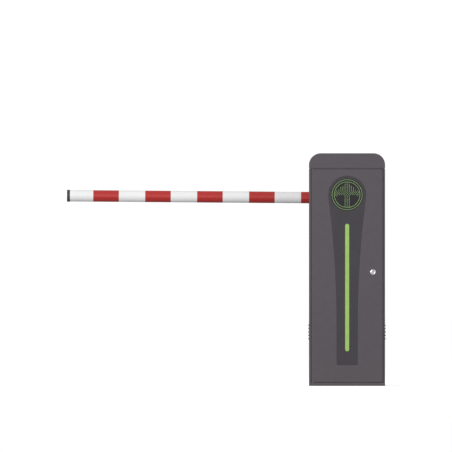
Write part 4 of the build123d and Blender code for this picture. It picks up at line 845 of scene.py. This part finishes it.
# %% Clamping screws on the rail
low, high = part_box("terminal_blocks")
b_low, b_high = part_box("circuit_breaker")
bm = bmesh.new()
blocks = 8
pitch = (high.x - low.x) / blocks / MM
block_step, breaker_step = 14, 16  # how far the lower steps lie behind the middle
for number in range(blocks):
    x = low.x / MM + (number + 0.5) * pitch
    for z in (low.z / MM + 6, high.z / MM - 6):
        add_screw(bm, (x, low.y / MM + block_step, z), (0, -1, 0), 2.3, 0.8)
for x in (b_low.x / MM + 9, b_high.x / MM - 9):
    for z in (b_low.z / MM + 8, b_high.z / MM - 8):
        add_screw(bm, (x, b_low.y / MM + breaker_step, z), (0, -1, 0), 3.2, 0.8)
finish_piece(bm, "clamping_screws", "cabinet", "zinc_steel")

# %% [markdown]
# ## Fixings at the back
#
# Four pan-head screws hold the shaft's cover ring on the back wall, and each clamp bolt of the boom has a washer
# that spreads its load.

# %% Cover screws and washers
cover_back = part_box("shaft_cover")[1].y / MM
cover_screw_circle = 46
bm = bmesh.new()
for angle in (45, 135, 225, 315):
    x = cover_screw_circle * math.cos(math.radians(angle))
    z = boom_z + cover_screw_circle * math.sin(math.radians(angle))
    add_screw(bm, (x, cover_back, z), (0, 1, 0), 3.2, 1.6)
finish_piece(bm, "shaft_cover_screws", "cabinet", "zinc_steel")
clamp_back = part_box("boom_clamps")[1].y / MM
boom_tilt = math.radians(0.442)
clamp_places = (-62.0, 45.0)  # along the boom from the shaft
bolt_places = (-36.0, 36.0)  # below and above the boom
washer = [(4.4, -0.2), (9.0, -0.2), (9.0, 1.0), (8.6, 1.4), (4.4, 1.4), (4.4, -0.2)]
bm = bmesh.new()
for along in clamp_places:
    for across in bolt_places:
        x = along * math.cos(boom_tilt) + across * math.sin(boom_tilt)
        z = boom_z - along * math.sin(boom_tilt) + across * math.cos(boom_tilt)
        add_turned(bm, washer, (x, clamp_back, z), (0, 1, 0), 32)
finish_piece(bm, "clamp_washers", "boom", "zinc_steel")

# %% [markdown]
# ## Floor and light
#
# The gate stands on a wide pale floor in a white studio. The studio itself gives most of the light, so nothing is
# lost in shadow. One large soft light on the left models the round shapes, and a weaker one on the right opens the
# other side. Seen directly, the floor and the studio are brighter than the light they give, so they stay white.

# %% Floor
floor_finish, tree, shader, place = start_finish(
    "pale_studio_floor", "#FBFBFB", 0.9, settings={"Specular IOR Level": 0.0}
)
seen = add_node(tree, "ShaderNodeLightPath").outputs["Is Camera Ray"]
floor_colour = add_node(tree, "ShaderNodeMix", {0: seen, 6: colour("#B4B4B4"), 7: colour("#FBFBFB")}, data_type="RGBA")
tree.links.new(floor_colour.outputs[2], shader.inputs["Base Color"])
shader.inputs["Emission Color"].default_value = (1.0, 1.0, 1.0, 1.0)
glow_seen = 0.48
floor_glow = add_node(tree, "ShaderNodeMath", {0: seen, 1: glow_seen}, operation="MULTIPLY")
tree.links.new(floor_glow.outputs[0], shader.inputs["Emission Strength"])
bm = bmesh.new()
floor_radius = 60.0
floor_drop = 0.5 * MM  # keeps the floor from sharing a plane with the base
bmesh.ops.create_circle(bm, cap_ends=True, radius=floor_radius, segments=96)
mesh = bpy.data.meshes.new("studio_floor")
bm.to_mesh(mesh)
bm.free()
mesh.materials.append(floor_finish)
floor = bpy.data.objects.new("studio_floor", mesh)
bpy.context.scene.collection.objects.link(floor)
mesh.transform(Matrix.Translation((0, 0, -floor_drop)))
print("floor disc of", len(mesh.polygons), "face")

# %% Studio and lights
world = bpy.data.worlds.new("white_studio")
world.use_nodes = True
seen = add_node(world.node_tree, "ShaderNodeLightPath").outputs["Is Camera Ray"]
light_given, brightness_seen = 0.55, 1.05
brightness = add_node(world.node_tree, "ShaderNodeMapRange", {0: seen, 3: light_given, 4: brightness_seen})
world.node_tree.nodes["Background"].inputs["Color"].default_value = (1.0, 1.0, 1.0, 1.0)
world.node_tree.links.new(brightness.outputs[0], world.node_tree.nodes["Background"].inputs["Strength"])
bpy.context.scene.world = world
bpy.context.scene.view_settings.view_transform = "Standard"
bpy.context.scene.view_settings.look = "None"

lit_middle = Vector((-0.4, 0, 0.6))
for name, place, size, power in (
    ("key_light", (-6.6, -9.6, 4.2), 5.0, 820.0),
    ("fill_light", (8.0, -7.0, 3.4), 5.0, 145.0),
):
    data = bpy.data.lights.new(name, "AREA")
    data.size = size
    data.energy = power
    light = bpy.data.objects.new(name, data)
    light.location = place
    light.rotation_euler = (lit_middle - Vector(place)).to_track_quat("-Z", "Y").to_euler()
    bpy.context.scene.collection.objects.link(light)

# %% [markdown]
# ## Last step
#
# The last line brings the scene up to date, so that every piece stands where its body puts it.

# %% Finish
bpy.context.view_layer.update()
